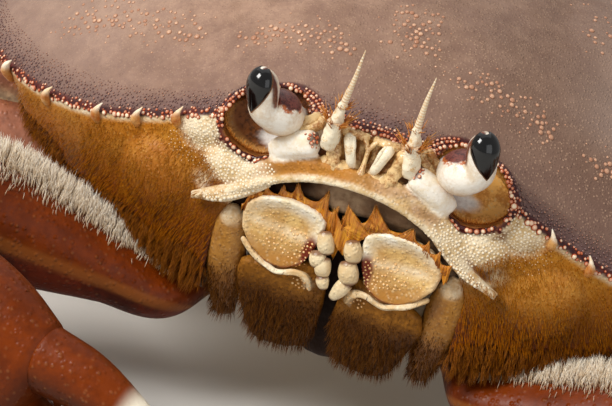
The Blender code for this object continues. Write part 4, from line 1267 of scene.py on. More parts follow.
def segment(name, start, end, sizes, girth, arch, profile=legged, sides=36, rings=46, blunt=0.35):
    axis, _, upward = limb_axes(start, end)
    line = [(*(start + (end - start) * s + upward * arch * math.sin(s * math.pi)), a * girth, b * girth)
            for s, a, b in sizes]
    made = tube(name, line, sides, rings, profile=profile, blunt=(blunt, blunt))
    points = crab_points(made)
    share = (points - start) @ axis / np.linalg.norm(end - start)
    mark(made, "joint", np.maximum(fade(share, 0.02, 0.09), ease(share, 0.93, 0.99)))
    return made


LEG_PARTS = (("merus", MERUS, 1, 46, 0.35), ("carpus", CARPUS, 0.6, 26, 0.35),
             ("propodus", PROPODUS, 0.4, 30, 0.35), ("dactylus", DACTYL, 1.6, 44, 0.25))


def walking_leg(number, side, name):
    joints = [both(p, side) for p in LEGS[number]]
    girth, made, ends = LEG_GIRTH[number], {}, joints[1:4] + [joints[4] + (0, 0, 0.3)]
    for part, start, end in zip(LEG_PARTS, joints, ends):
        key, sizes, arch, rings, blunt = part
        made[key] = segment(f"leg_{key}_skin_{name}{number + 1}", start, end, sizes, girth, arch,
                            rings=rings, blunt=blunt)
    points = crab_points(made["dactylus"])
    points[:, 2] = np.maximum(points[:, 2], -FRONT[2])
    put_points(made["dactylus"], points)
    return made, [ellipsoid("socket", p, (s * girth,) * 3, 20, 12)
                  for p, s in zip(joints[1:], (4.4, 4.2, 3))]


ARM_ROOT, ARM_BEND, ELBOW = (19.4, 22, -38), (28, 10.5, -43.3), (68, 0, -35)
WRIST, PALM_END, CLAW_TIP = (73, -20, -40), (37, -32, -44.5), (5, -37.5, -51)


def clawed(angle, share):
    """A claw's section: a keel above and below, and faintly grooved sides."""
    return (1 + 0.05 * np.exp(-((np.sin(angle) - 1) / 0.08) ** 2)
            + 0.025 * np.cos(6 * angle) * np.sin(np.clip(share, 0, 1) * math.pi))


def stations(start, way, upward, rows):
    """Stations of a tube, for rows of: share of the way, lift, half across and half up."""
    return [(*(start + way * share + upward * lift), wide, high) for share, lift, wide, high in rows]


def horn(foot, end, middle, sizes, sides, rings):
    """A small round spine or knob: sizes are its half-breadths at the foot, in the middle and at the end."""
    line = [(*(foot + (end - foot) * t), size, size) for t, size in zip((0, middle, 1), sizes)]
    return tube("horn", line, sides, rings)


def arm(side, name):
    root, bend, elbow, wrist, palm_end, tip = (
        both(p, side) for p in (ARM_ROOT, ARM_BEND, ELBOW, WRIST, PALM_END, CLAW_TIP))
    made, step, above = {}, elbow - bend, np.array((0, 0, 1))
    line = stations(root, bend - root, above, ((0, 0, 3.8, 3.9), (0.55, 0, 4.2, 4)))
    line += stations(bend, step, above, ((0, 0, 4.8, 4.4), (0.25, 0, 5.8, 6), (0.55, 0, 6.7, 8.7),
                                         (0.82, 0, 7.3, 10.1), (0.97, 0, 6.4, 8.9)))

    def three_cornered(angle, share):
        """A keel above at the back, one in front and a rounder one below."""
        turned = angle if side > 0 else math.pi - angle
        form = np.ones_like(angle)
        for at, rise, wide in ((1.75, 0.24, 0.42), (3.35, 0.13, 0.3), (5.2, 0.05, 0.6)):
            form += rise * np.exp(-((np.angle(np.exp(1j * (turned - at)))) / wide) ** 2)
        return 0.95 * (1 + (form - 1) * ease(share, 0.1, 0.4))

    made["merus"] = tube("cheliped_merus_skin_" + name, line, 72, 90, profile=three_cornered,
                         blunt=(0.2, 0.25))
    points = crab_points(made["merus"])
    height = unit((points - bend) - ((points - bend) @ unit(step))[:, None] * unit(step)) @ above
    mark(made["merus"], "front", fade(np.abs(height), 0.12, 0.26))
    # Painted shade: the arm's lower face.
    mark(made["merus"], "under", fade(height, -0.2, 0.02))
    parts = [segment("carpus", elbow, wrist, ((0.04, 6.2, 8.4), (0.25, 8.9, 11.3), (0.55, 9.5, 12.1),
                                              (0.85, 7.5, 10.5), (0.96, 5.9, 8.5)),
                     1.0, 0.0, clawed, 48, 50, 0.3)]
    crown, crest = elbow + (wrist - elbow) * 0.7, elbow + (wrist - elbow) * 0.4
    for foot, end, size in ((crown + (0, 0, 9.5), crown + (-side * 2.0, -4, 14.3), 2.3),
                            (crest + (-side * 6.5, -2, 3), crest + (-side * 13.3, -7, 4.5), 2.5)):
        parts.append(horn(foot, end, 0.5, (size, size * 0.62, 0.2), 16, 12))
    made["carpus"] = joined(parts, "cheliped_carpus_skin_" + name)
    hand, _, upward = limb_axes(wrist, palm_end)
    step, reach = palm_end - wrist, tip - palm_end
    palm = stations(wrist + hand * 0.6, step, upward, ((0, 0, 5.4, 7.2),))
    palm += stations(wrist, step, upward, ((0.14, 0.8, 7.2, 9.8), (0.27, 1, 8.3, 11.5), (0.5, 1, 9.5, 13.8),
                                           (0.8, 0.6, 8.7, 13.3)))
    palm += stations(palm_end, hand, upward, ((-0.4, 0.2, 7, 11.4),))
    fixed = stations(palm_end, hand, upward, ((-6, -4, 5.6, 7.5), (0.8, -6.2, 5.3, 5.6)))
    fixed += stations(palm_end, reach, upward, ((0.35, -5.2, 4.3, 4.5), (0.7, -3, 3.1, 3.3),
                                                (1, -0.9, 0.7, 0.8)))
    parts = [tube("palm", palm, 56, 60, profile=clawed, blunt=(0.3, 0.3)),
             tube("fixed", fixed, 32, 60, blunt=(0.4, 0.5))]
    for share, size in ((0.22, 1.3), (0.33, 1.5), (0.45, 1.4), (0.56, 1.25), (0.67, 1.1), (0.77, 0.9)):
        foot = palm_end + reach * share - upward * (5.6 - 3.6 * share)
        parts.append(horn(foot, foot + upward * (4.9 - 3.2 * share), 0.6, (size, size * 0.9, size * 0.4),
                          12, 8))
    for share in (0.12, 0.24, 0.38, 0.52, 0.66, 0.8):
        foot = wrist + step * share + upward * (11.6 - abs(share - 0.5) * 5)
        parts.append(horn(foot, foot + upward * 4.2 + hand * 1.4, 0.5, (1.8, 1.1, 0.15), 12, 9))
    made["palm"] = joined(parts, "cheliped_palm_skin_" + name)
    hinge = palm_end + hand * 0.6
    moving = stations(hinge, reach, upward, ((0, 5.9, 4.9, 5.7), (0.22, 6.6, 4.5, 5.1),
                                             (0.52, 5.4, 3.4, 3.7), (0.8, 3.4, 2.3, 2.4),
                                             (0.97, 1.5, 0.8, 0.9)))
    parts = [tube("finger", moving, 32, 56, blunt=(0.35, 0.4))]
    for share, size in ((0.14, 1.2), (0.26, 1.35), (0.38, 1.25), (0.5, 1.1), (0.61, 0.95), (0.71, 0.8)):
        foot = hinge + reach * share + upward * (3.2 - 1.8 * share)
        parts.append(horn(foot, foot - upward * (3.4 - 2.0 * share), 0.6, (size, size * 0.9, size * 0.4),
                          12, 8))
    made["finger"] = joined(parts, "cheliped_finger_skin_" + name)
    for key in ("palm", "finger"):
        share = np.clip((crab_points(made[key]) - palm_end) @ unit(reach) / np.linalg.norm(reach), 0, 1)
        mark(made[key], "pale", ease(share, 0.3, 0.62))
    return made, [ellipsoid("socket", elbow, (7.4, 5.6, 7.4), 28, 16),
                  ellipsoid("socket", wrist, (5.6, 5.6, 6.6), 28, 16)]


# ---------------------------------------------------------------- breastplate and folded tail

CHEST = (
    (15, 11), (22, 17.5), (27.5, 18.9), (32, 20.6), (42, 21.7), (55, 22.2), (59, 21.2), (67, 20.4),
    (71.5, 17), (79, 14.5), (86, 9),
)
CHEST_SEAMS = (27, 43, 57.5, 70)
TAIL = (
    (113.6, -15.2, 17), (112.4, -22, 17.5), (109.4, -30, 17), (104, -38, 15.5), (95.5, -43.6, 13),
    (82, -45.2, 10.5), (68, -45, 9), (54, -44.9, 7.8), (42, -44.8, 5), (37, -44.8, 1.2),
)
TAIL_SEAMS = (0.1, 0.24, 0.38, 0.52, 0.64, 0.78)


def breastplate():
    """The flat chest between the legs, with the seams of its plates."""
    line = [(0, y, -35.6, half, 7.3) for y, half in CHEST]
    made = tube("sternum_skin", line, 96, 150, profile=None, blunt=(0.1, 0.1), square=0.5)
    points = crab_points(made)
    x, y = np.abs(points[:, 0]), points[:, 1]
    seam = np.zeros(len(points))
    for at in CHEST_SEAMS:
        seam += np.exp(-((y - at - (x - 11) * 0.12) / 0.7) ** 2) * ease(x, 4, 9)
    seam += np.exp(-((x - 10.6 + (y < 40) * 3) / 0.6) ** 2) * (y > 30) * 0.7
    below = points[:, 2] < -36
    points[:, 2] += seam * 0.7 * below
    put_points(made, points)
    mark(made, "seam", np.clip(seam, 0, 1) * below)
    # Painted shade: the chest's front end painted near black.
    mark(made, "front", fade(y, 13.0, 19.0))
    return made


def tail():
    line = [(0, y, z, 1.45, half) for y, z, half in TAIL]

    def plated(angle, share):
        form = np.ones_like(share)
        for at in TAIL_SEAMS:
            form -= 0.06 * np.exp(-((share - at) / 0.008) ** 2)
            form += 0.03 * np.exp(-((share - at + 0.02) / 0.016) ** 2)
        return form

    made = tube("abdomen_skin", line, 64, 220, up=(1, 0, 0), profile=plated, blunt=(0.4, 0.4), square=0.66)
    points = crab_points(made)
    path = smooth_path([(0, y, z) for y, z, _ in TAIL], 400)
    near = np.array([np.argmin(((path - (0, p[1], p[2])) ** 2).sum(1)) for p in points]) / 399
    seam = np.max([np.exp(-((near - at) / 0.007) ** 2) for at in TAIL_SEAMS], axis=0)
    mark(made, "seam", seam)
    return made


# ---------------------------------------------------------------- hair

def strands(name, roots, ways, lengths, girths, bends, unwrap, shades):
    """Thin closed tapering hairs. ways point out of the skin; bends is each tip's drift against its length.

    Each hair's patch of the map lies at its root's place on the unwrap of the skin it grows from.
    """
    roots, ways = np.asarray(roots, float), unit(ways)
    count = len(roots)
    lengths = np.broadcast_to(np.asarray(lengths, float), count)
    girths = np.broadcast_to(np.asarray(girths, float), count)
    first, second = frames(ways)
    shares, slims = (-0.06, 0.38, 0.74), (1, 0.86, 0.52)
    rings = []
    for share, slim in zip(shares, slims):
        middle = roots + (ways * share + bends * max(share, 0) ** 2) * lengths[:, None]
        for corner in range(3):
            angle = corner * math.tau / 3
            rings.append(middle + (first * math.cos(angle) + second * math.sin(angle))
                         * (girths * slim)[:, None])
    rings.append(roots + (ways + bends) * lengths[:, None])
    points = np.stack(rings, axis=1).reshape(-1, 3)
    shape = [(2, 1, 0)] + [(k, (k + 1) % 3, 3 + (k + 1) % 3, 3 + k) for k in range(3)]
    shape += ([(3 + k, 3 + (k + 1) % 3, 6 + (k + 1) % 3, 6 + k) for k in range(3)]
              + [(6 + k, 6 + (k + 1) % 3, 9) for k in range(3)])
    faces = [[i + start for i in face] for start in range(0, count * 10, 10) for face in shape]
    made = mesh_piece(name, points, faces)
    mark(made, "along", np.tile(np.repeat((0, 0.38, 0.74, 1), (3, 3, 3, 1)), count))
    mark(made, "shade", np.repeat(np.asarray(shades, float), 10))
    patch = np.array([(0, 0), (0.0015, 0), (0.003, 0), (0, 0.0011), (0.0015, 0.0011), (0.003, 0.0011),
                      (0, 0.0022), (0.0015, 0.0022), (0.003, 0.0022), (0.0015, 0.003)])
    places = (np.clip(unwrap, 0.001, 0.996)[:, None] + patch[None]).reshape(-1, 2)
    corners = np.zeros(len(made.data.loops), np.int32)
    made.data.loops.foreach_get("vertex_index", corners)
    chart = made.data.uv_layers.new(name="OFBake")
    chart.data.foreach_set("uv", places[corners].astype(np.float32).ravel())
    return made


def shell_unwrap(points):
    """Polar map of the shell: round its upright axis, and from the top of the dome down to the belly."""
    x, y, z = points[:, 0], points[:, 1], points[:, 2]
    around = np.arctan2(x, DOME_Y - y) / math.tau + 0.5
    return np.stack([around, np.clip((DOME_Z - z) / 64.0, 0, 1)], -1)


def clumped(roots, ways, gap, pull, rng):
    """Leans the hairs of each small patch towards one shared way, so that they part into locks."""
    cells = (roots / gap).astype(int)
    keys = cells[:, 0] * 73856093 ^ cells[:, 1] * 19349663 ^ cells[:, 2] * 83492791
    _, at = np.unique(keys, return_inverse=True)
    total = np.zeros((at.max() + 1, 3))
    np.add.at(total, at, roots)
    middle = total / np.bincount(at)[:, None]
    drift = rng.normal(0, 0.35, (at.max() + 1, 3))
    return unit(ways + (middle[at] - roots) * pull / gap + drift[at] * pull)


def face_hair(skin, boxes, count, kept, seed):
    """Roots on the shell's front inside soft ovals of (half-breadth, height)."""
    rng = np.random.default_rng(seed)
    starts = [in_oval(middle, radii, side, int(count * share / 2), -60.0, rng)[0]
              for middle, radii, share in boxes for side, _ in SIDES]
    on, normals, _ = skin.along(np.concatenate(starts), (0, 1, 0))
    good = on_face(on, 26, 1.6)
    chosen = rng.permutation(good.sum())[:kept]
    return on[good][chosen], normals[good][chosen], rng


def cheek_velvet(skin):
    """Short hair that follows the cheeks outwards and down, longer and darker below."""
    boxes = (
        ((34, -21.5), (14.5, 10.5), 0.46), ((52, -23.5), (18, 7.5), 0.32), ((27, -29), (7, 8), 0.15),
        ((27.5, -17), (5, 3.6), 0.07),
    )
    roots, normals, rng = face_hair(skin, boxes, 17500, 12400, 21)
    low = ease(-roots[:, 2], 19, 32)
    outward = np.sign(roots) * (0.5, 0, 0) + (0, -0.1, -1)
    ways = normals * 0.42 + outward * 0.75 + rng.normal(0, 0.1, roots.shape)
    ways = clumped(roots, ways, 1.9, 0.12 + 0.25 * low[:, None], rng)
    lengths = rng.uniform(0.35, 0.8, len(roots)) * (1 + 1.1 * low)
    shades = np.clip(rng.uniform(0.3, 1.0, len(roots)) - 0.7 * low, 0, 1)
    return strands("cheek_velvet", roots, ways, lengths, 0.034 + 0.016 * low, np.array((0, 0.06, -0.3)),
                   shell_unwrap(roots), shades)


def cheek_locks(skin):
    """Longer wet hair along the lower edge of the cheeks."""
    boxes = (((30, -34.5), (9, 4.5), 0.4), ((45, -31.5), (13, 3.5), 0.36), ((62, -27.5), (11, 3.2), 0.24))
    roots, normals, rng = face_hair(skin, boxes, 15500, 11000, 22)
    down = np.array((0, -0.2, -1))
    ways = clumped(roots, normals * 0.55 + down * 0.8, 1.7, 0.5, rng)
    lengths = rng.uniform(0.8, 1.6, len(roots)) * (1 + 0.5 * ease(-roots[:, 2], 28, 37))
    bends = down * 0.3 + rng.normal(0, 0.08, roots.shape)
    return strands("cheek_locks", roots, ways, lengths, 0.045, bends, shell_unwrap(roots),
                   rng.uniform(0, 1, len(roots)))


def mouth_setae():
    """Single hairs along the spikes of wet hair over the upper plates."""
    rng = np.random.default_rng(23)
    roots, ways, lengths = [], [], []
    for side, _ in SIDES:
        top = np.array(WEB[side][1])
        for spike in range(1, len(top) - 1, 2):
            before, tip, after = top[spike - 1:spike + 2]
            for _ in range(34):
                t = rng.uniform(0, 1)
                low = before + (after - before) * t
                root = np.array((tip[0] + (low[0] - tip[0]) * rng.uniform(0.3, 0.8),
                                 rng.uniform(0.6, 1.3) - 0.35 * side,
                                 min(low[1], tip[1] - 1.0) - rng.uniform(0.2, 1.2)))
                end = np.array((tip[0] + rng.normal(0, 0.07), 0.75 - 0.35 * side + rng.normal(0, 0.08),
                                tip[1] + rng.normal(0, 0.15)))
                roots.append(root)
                ways.append(end - root)
                lengths.append(np.linalg.norm(end - root) * rng.uniform(0.8, 1.08))
    roots, ways = np.array(roots), np.array(ways)
    bends = rng.normal(0, 0.04, roots.shape)
    unwrap = np.stack([0.1 + (roots[:, 0] + 20) / 60, 0.5 + roots[:, 1] / 20], -1)
    return strands("mouth_setae", roots, ways, lengths, 0.055, bends, unwrap, rng.uniform(0, 1, len(roots)))


def jaw_hair(plates, side, name):
    """Short brown hair on the lower plate and outer branch of each jaw foot."""
    rng = np.random.default_rng(31 + side)
    count = 5600
    starts = np.stack([rng.uniform(1.0, 21.8, count) * side, np.full(count, -40.0),
                       rng.uniform(-44.5, -24.5, count)], -1)
    on, normals, _ = plates.along(starts, (0, 1, 0))
    keep = rng.uniform(0, 1, len(on)) < 0.02 + 0.98 * ease(-on[:, 2], 30, 37)
    on, normals = on[keep], normals[keep]
    low = ease(-on[:, 2], 29, 42)
    ways = clumped(on, normals * 0.55 + np.array((0, -0.1, -1)) + rng.normal(0, 0.12, on.shape),
                   1.5, 0.35, rng)
    unwrap = np.stack([0.5 + on[:, 0] / 50, (on[:, 2] + 46) / 24], -1)
    return strands("jaw_hair_" + name, on, ways, rng.uniform(0.5, 0.95, len(on)) * (1 + 0.9 * low), 0.04,
                   np.array((0, 0.1, -0.25)), unwrap, rng.uniform(0, 1, len(on)))


def orbit_lashes():
    """The short fringe inside the lower rim of each orbit, and bristles at the feelers' joints."""
    rng = np.random.default_rng(24)
    roots, ways, lengths, girths = [], [], [], []
    for side, _ in SIDES:
        low = row_of(np.array(RIM[9:]) * (side, 1, 1), 0.09, rng, 0.3) + (0, 1, 0.4)
        roots.append(low)
        ways.append(np.array((0, -0.25, 1)) + rng.normal(0, 0.25, low.shape))
        lengths.append(rng.uniform(0.6, 1.5, len(low)))
        girths.append(np.full(len(low), 0.055))
        joints = [np.array(p) for p in ANTENNA[side]]
        for start, end, girth, count, size in ((joints[1], joints[2], 1.3, 84, 3.3),
                                               (joints[2], joints[3], 0.8, 24, 1.8)):
            axis = unit(end - start)
            a, b = (v[0] for v in frames(axis[None]))
            angle = rng.choice((0.4, 1.5, 2.9, 4, 5.2), count) + rng.normal(0, 0.16, count)
            out = a * np.cos(angle)[:, None] + b * np.sin(angle)[:, None]
            at = start + (end - start) * rng.uniform(0.7, 0.98, count)[:, None]
            roots.append(at + out * girth * 0.92)
            ways.append(out * 0.8 + axis * 0.85 + rng.normal(0, 0.12, out.shape))
            lengths.append(rng.uniform(0.35, 1.15, count) * size)
            girths.append(np.full(count, 0.085))
    roots, ways, lengths, girths = (np.concatenate(v) for v in (roots, ways, lengths, girths))
    return strands("orbit_lashes", roots, ways, lengths, girths, rng.normal(0, 0.12, roots.shape),
                   shell_unwrap(roots), rng.uniform(0, 1, len(roots)))


def keel_roots(start, end, sizes, arch, girth, density, rng):
    """Roots along both keels of a straight segment: their places, ways out and places on its unwrap."""
    axis, across, upward = limb_axes(start, end)
    shares, wide, high = np.array(sizes).T
    places, outs, maps = [], [], []
    for middle, spread in ((math.pi / 2, 0.1), (-math.pi / 2, 0.16)):
        count = int(np.linalg.norm(end - start) * density)
        s = rng.uniform(0.08, 0.93, count)
        angle = middle + rng.normal(0, spread, count)
        out = across * np.cos(angle)[:, None] + upward * np.sin(angle)[:, None]
        half = np.stack([np.interp(s, shares, wide), np.interp(s, shares, high)], -1) * girth
        reach = np.hypot(half[:, 0] * np.cos(angle), half[:, 1] * np.sin(angle))
        lift = upward * (arch * np.sin(s * math.pi))[:, None]
        places.append(start + (end - start) * s[:, None] + lift + out * (reach * 0.985)[:, None])
        outs.append(out + axis * 0.55)
        maps.append(np.stack([s, (angle / math.tau) % 1], -1))
    return np.concatenate(places), np.concatenate(outs), np.concatenate(maps)


def leg_hair(side, name):
    """Fringes along the keels of the four legs of one side."""
    rng = np.random.default_rng(25 + side)
    roots, ways, maps, lengths = [], [], [], []
    for number in range(4):
        joints = [both(p, side) for p in LEGS[number]]
        for part, (density, size) in enumerate(((6, 1.5), (7, 1.5), (9, 2.2), (10, 1.7))):
            _, sizes, arch, _, _ = LEG_PARTS[part]
            place, out, where = keel_roots(joints[part], joints[part + 1], sizes, arch, LEG_GIRTH[number],
                                           density, rng)
            roots.append(place)
            ways.append(out + rng.normal(0, 0.15, out.shape))
            maps.append(np.stack([(part + where[:, 0]) / 4 * 0.25 + number * 0.25, where[:, 1]], -1))
            lengths.append(rng.uniform(0.6, 1.15, len(place)) * size)
    clear = np.concatenate(roots)[:, 2] > -60.5
    roots, ways, maps, lengths = (np.concatenate(v)[clear] for v in (roots, ways, maps, lengths))
    ways = clumped(roots, ways, 1.5, 0.3, rng)
    return strands("leg_hair_" + name, roots, ways, lengths, 0.06, rng.normal(0, 0.12, roots.shape), maps,
                   rng.uniform(0, 1, len(roots)))


def arm_fringe(skin, side, name):
    """The pale fringe along the upper back edge of the claw limb's arm."""
    rng = np.random.default_rng(27 + side)
    bend, elbow = both(ARM_BEND, side), both(ELBOW, side)
    count = 11800
    s = rng.uniform(0.0, 1.0, count)
    axis = unit(elbow - bend)
    behind = unit(np.cross(axis, (0, 0, 1)))
    behind = behind if behind[1] > 0 else -behind
    upward = unit(np.array((0, 0, 1)) - axis * axis[2])
    angle = rng.normal(1.42, 0.2, count)
    out = behind * np.cos(angle)[:, None] + upward * np.sin(angle)[:, None]
    starts = bend + (elbow - bend) * s[:, None] + out * 30
    on, normals, kept = skin.along(starts, -out)
    s, angle = s[kept], angle[kept]
    ways = clumped(on, normals * 0.9 + axis * 0.35 + np.array((0, 0.35, 0.5))
                   + rng.normal(0, 0.12, on.shape), 1.6, 0.35, rng)
    lengths = rng.uniform(1.4, 3.4, len(on)) * (0.6 + 0.4 * np.exp(-((angle - 1.42) / 0.25) ** 2))
    return strands("arm_fringe_" + name, on, ways, lengths, 0.07, rng.normal(0, 0.1, on.shape),
                   np.stack([s, angle / math.tau + 0.3], -1), rng.uniform(0, 1, len(on)))


# ---------------------------------------------------------------- finishes

def tone(code):
    """A screen colour such as "8c6c58", as a shader takes it."""
    shares = [int(code[i:i + 2], 16) / 255 for i in (0, 2, 4)]
    return tuple(c / 12.92 if c <= 0.04045 else ((c + 0.055) / 1.055) ** 2.4 for c in shares) + (1,)


class Board:
    """Lays out shader nodes: an argument is a number, a colour's code or another node's output."""

    def __init__(self, tree):
        self.tree = tree

    def put(self, kind, inputs=None, **settings):
        node = self.tree.nodes.new(kind)
        node.location = ((len(self.tree.nodes) % 9) * 190, -(len(self.tree.nodes) // 9) * 260)
        for key, value in settings.items():
            setattr(node, key, value)
        for key, value in (inputs or {}).items():
            self.feed(node.inputs[key], value)
        return node

    def feed(self, socket, value):
        if isinstance(value, bpy.types.NodeSocket):
            self.tree.links.new(value, socket)
        else:
            socket.default_value = tone(value) if isinstance(value, str) else value

    def read(self, name):
        return self.put("ShaderNodeAttribute", attribute_name=name).outputs["Fac"]

    def place(self):
        return self.put("ShaderNodeTexCoord").outputs["Object"]

    def blend(self, share, low, high):
        return self.put("ShaderNodeMix", {0: share, 6: low, 7: high}, data_type="RGBA").outputs[2]

    def times(self, first, second, operation="MULTIPLY", clamp=False):
        return self.put("ShaderNodeMath", {0: first, 1: second}, operation=operation,
                        use_clamp=clamp).outputs[0]

    def plus(self, first, second):
        return self.times(first, second, "ADD")

    def over(self, colour, *layers):
        """Lays colours over the first; a layer is a mask or the name of a mark, its share and its colour."""
        for mask, share, upper in layers:
            mask = self.read(mask) if isinstance(mask, str) else mask
            colour = self.blend(mask if share == 1 else self.times(mask, share), colour, upper)
        return colour

    def span(self, value, low, high, to_low=0.0, to_high=1.0):
        limits = {"Value": value, "From Min": low, "From Max": high, "To Min": to_low, "To Max": to_high}
        return self.put("ShaderNodeMapRange", limits, interpolation_type="SMOOTHSTEP").outputs["Result"]

    def noise(self, scale, detail=3.0, rough=0.55, vector=None):
        inputs = {"Scale": scale, "Detail": detail, "Roughness": rough, "Vector": vector or self.place()}
        return self.put("ShaderNodeTexNoise", inputs).outputs["Fac"]

    def use(self, group, output=0, **inputs):
        return self.put("ShaderNodeGroup", inputs, node_tree=group).outputs[output]

    def mottle(self, scale, low, high):
        return self.use(MOTTLING, Scale=scale, Low=low, High=high)

    def grains(self, output, scale, edge):
        return self.use(GRANULES, output, Scale=scale, Edge=edge)


def effect(name, inputs, outputs, wire):
    """A node group; wire(board, start, end) lays it out."""
    group = bpy.data.node_groups.new(name, "ShaderNodeTree")
    for label, value in inputs:
        group.interface.new_socket(label, in_out="INPUT",
                                   socket_type="NodeSocketFloat").default_value = value
    for label in outputs:
        group.interface.new_socket(label, in_out="OUTPUT", socket_type="NodeSocketFloat")
    board = Board(group)
    wire(board, board.put("NodeGroupInput").outputs, board.put("NodeGroupOutput").inputs)
    return group


def new_material(name):
    """A material with its board and its shader's sockets."""
    material = bpy.data.materials.new(name)
    material.use_nodes = True
    return material, Board(material.node_tree), material.node_tree.nodes["Principled BSDF"].inputs


def wire_granules(board, start, end):
    """Small round grains, each with its own height."""
    cells = board.put("ShaderNodeTexVoronoi",
                      {"Vector": board.place(), "Scale": start["Scale"], "Randomness": 1.0})
    grain_dome = board.span(cells.outputs["Distance"], start["Edge"], 0.05)
    own = board.put("ShaderNodeSeparateColor", {"Color": cells.outputs["Color"]})
    board.feed(end["Height"], board.times(grain_dome, board.span(own.outputs[0], 0.0, 1.0, 0.25, 1.0)))
    board.feed(end["Mask"], board.times(grain_dome, board.span(own.outputs[1], 0.35, 0.75)))


def wire_mottling(board, start, end):
    """Soft blotches with a finer grain in them."""
    wide = board.noise(start["Scale"], 4.0, 0.6)
    fine = board.noise(board.times(start["Scale"], 6.5), 3.0, 0.6)
    both_grains = board.plus(board.times(wide, 0.65), board.times(fine, 0.35))
    board.feed(end["Value"], board.span(both_grains, start["Low"], start["High"]))


def wire_worn(board, start, end):
    """Fine uneven dullness, for roughness."""
    fine = board.noise(start["Scale"], 5.0, 0.7)
    board.feed(end["Value"], board.span(fine, 0.25, 0.75, start["Low"], start["High"]))


GRANULES = effect("fine_granules", (("Scale", 1300), ("Edge", 0.55)), ("Height", "Mask"), wire_granules)
MOTTLING = effect("mottling", (("Scale", 60), ("Low", 0.35), ("High", 0.65)), ("Value",), wire_mottling)
WORN = effect("uneven_gloss", (("Scale", 300), ("Low", 0.3), ("High", 0.55)), ("Value",), wire_worn)


def finish(name, roughness, wire, coat=0.0, shine=0.35):
    """A material; wire(board) gives its colour, its bump height and the bump's depth in metres."""
    material, board, sockets = new_material(name)
    colour, height, depth = wire(board)
    board.feed(sockets["Base Color"], colour)
    board.feed(sockets["Roughness"],
               board.use(WORN, Scale=420.0, Low=roughness - 0.1, High=roughness + 0.12))
    if height is not None:
        bump = board.put("ShaderNodeBump", {"Height": height, "Distance": depth, "Strength": 1.0})
        board.feed(sockets["Normal"], bump.outputs["Normal"])
    for label, value in (("Coat Weight", coat), ("Coat Roughness", 0.12), ("Specular IOR Level", shine)):
        sockets[label].default_value = value
    return material


def wire_shell(board):
    mottle, blotch = board.mottle(38.0, 0.4, 0.6), board.mottle(210.0, 0.4, 0.62)
    dot_mask, pearl_mask = board.grains("Mask", 2100.0, 0.5), board.grains("Mask", 1750.0, 0.6)
    inland, fall = board.read("inland"), board.read("fall")
    across = board.put("ShaderNodeSeparateXYZ", {"Vector": board.place()}).outputs["X"]

    def where(sideways, inwards):
        return board.times(board.span(across, *sideways), board.span(inland, *inwards))

    band = board.over(board.blend(blotch, "4a3232", "705450"), (dot_mask, 0.4, "9e7a68"))
    # right and left are painted highlights: broad lightening of the back, far from the edge on the crab's
    # left side and fainter on its right side.
    right, left = where((0.02, 0.05, 0, 0.6), (10, 15)), where((-0.03, -0.065, 0, 0.25), (3, 9, 0.8, 1))
    back = board.over(
        board.blend(mottle, "8c6c58", "a88670"),
        (blotch, 0.4, "74564c"),
        # Painted shade: the back darkened towards the crab's left side, most near the edge.
        (where((-0.02, 0.03, 0, 0.6), (36, 18, 0.25, 1)), 1, "644a3c"),
        # painted highlights on both sides of the back
        (board.plus(right, left), 1, "b8a498"),
        (board.times(dot_mask, where((-0.02, 0.03, 0.85, 1.6), (18, 6, 0.3, 0.6))), 1, "be9a7e"),
        # The dark band along the edge is the shell's own colour; it is laid on more faintly on the crab's
        # right side, a painted lightening.
        (where((-0.06, -0.02, 0.62, 1), (4.6, 1, 0, 0.9)), 1, band),
        (board.span(inland, 14.0, 2.0, 0.0, 0.3), 1, "70544e"),
        (board.span(inland, 20.0, 44.0, 0.0, 0.62), 1, "9a8a80"))
    gold = board.over(
        board.blend(mottle, "cc8c2c", "b26c10"),
        (fall, 1, board.blend(blotch, "763604", "481c02")),
        (board.times(pearl_mask, board.span(fall, 0.7, 0.1, 0.0, 0.3)), 1, "e2b25c"))
    cream = board.over(board.blend(blotch, "ecdcbc", "d0b07c"), (pearl_mask, 0.5, "f8f0de"))
    white = board.blend(board.times(blotch, 0.7), "fff9ec", "ecd8b2")
    # groove: painted shade in the face's creases
    under = board.over(gold, ("cream", 1, cream), ("groove", 1, board.blend(blotch, "b07028", "784210")),
                       ("belly", 1, "dec69c"))
    skin = board.over(
        board.blend(board.read("back"), under, back),
        # painted shade in the face's hollows and creases
        (board.span(board.read("crevice_shade"), 0.05, 0.26, 0.0, 0.7), 1, "6e360e"),
        ("block", 1, white),
        ("red", 1, board.blend(blotch, "581810", "321012")),
        ("pit", 1, board.blend(blotch, "c8924c", "804a18")),
        # the mouth's near black is painted shade
        ("orbit", 1, "965c28"), ("mouth", 1, "220f05"))
    pearls = board.times(board.grains("Height", 1750.0, 0.62),
                         board.span(board.read("block"), 0.0, 1.0, 0.6, 0.2))
    dots = board.times(board.grains("Height", 2100.0, 0.6), 0.45)
    return skin, board.blend(board.read("back"), pearls, dots), 0.00022


def wire_beads(dark, middle, pale, low=0.1, high=0.6):
    """Dark at the foot, then a middle tone, and pale on top by as much as each bead's own shade."""
    def wire(board):
        tip, shade = board.read("tip"), board.read("shade")
        colour = board.blend(board.span(tip, low, high), dark, middle)
        crown = board.times(board.span(tip, high - 0.05, 0.97), shade, clamp=True)
        return board.blend(crown, colour, pale), board.noise(3000.0, 2.0), 0.00002
    return wire


def wire_teeth(board):
    blotch = board.mottle(260.0, 0.4, 0.62)
    foot = board.blend(blotch, "dea660", "be6e2c")
    colour = board.over(foot, ("along", 1, board.blend(blotch, "fff4de", "f0d0a4")))
    return colour, board.noise(2200.0, 3.0), 0.00003


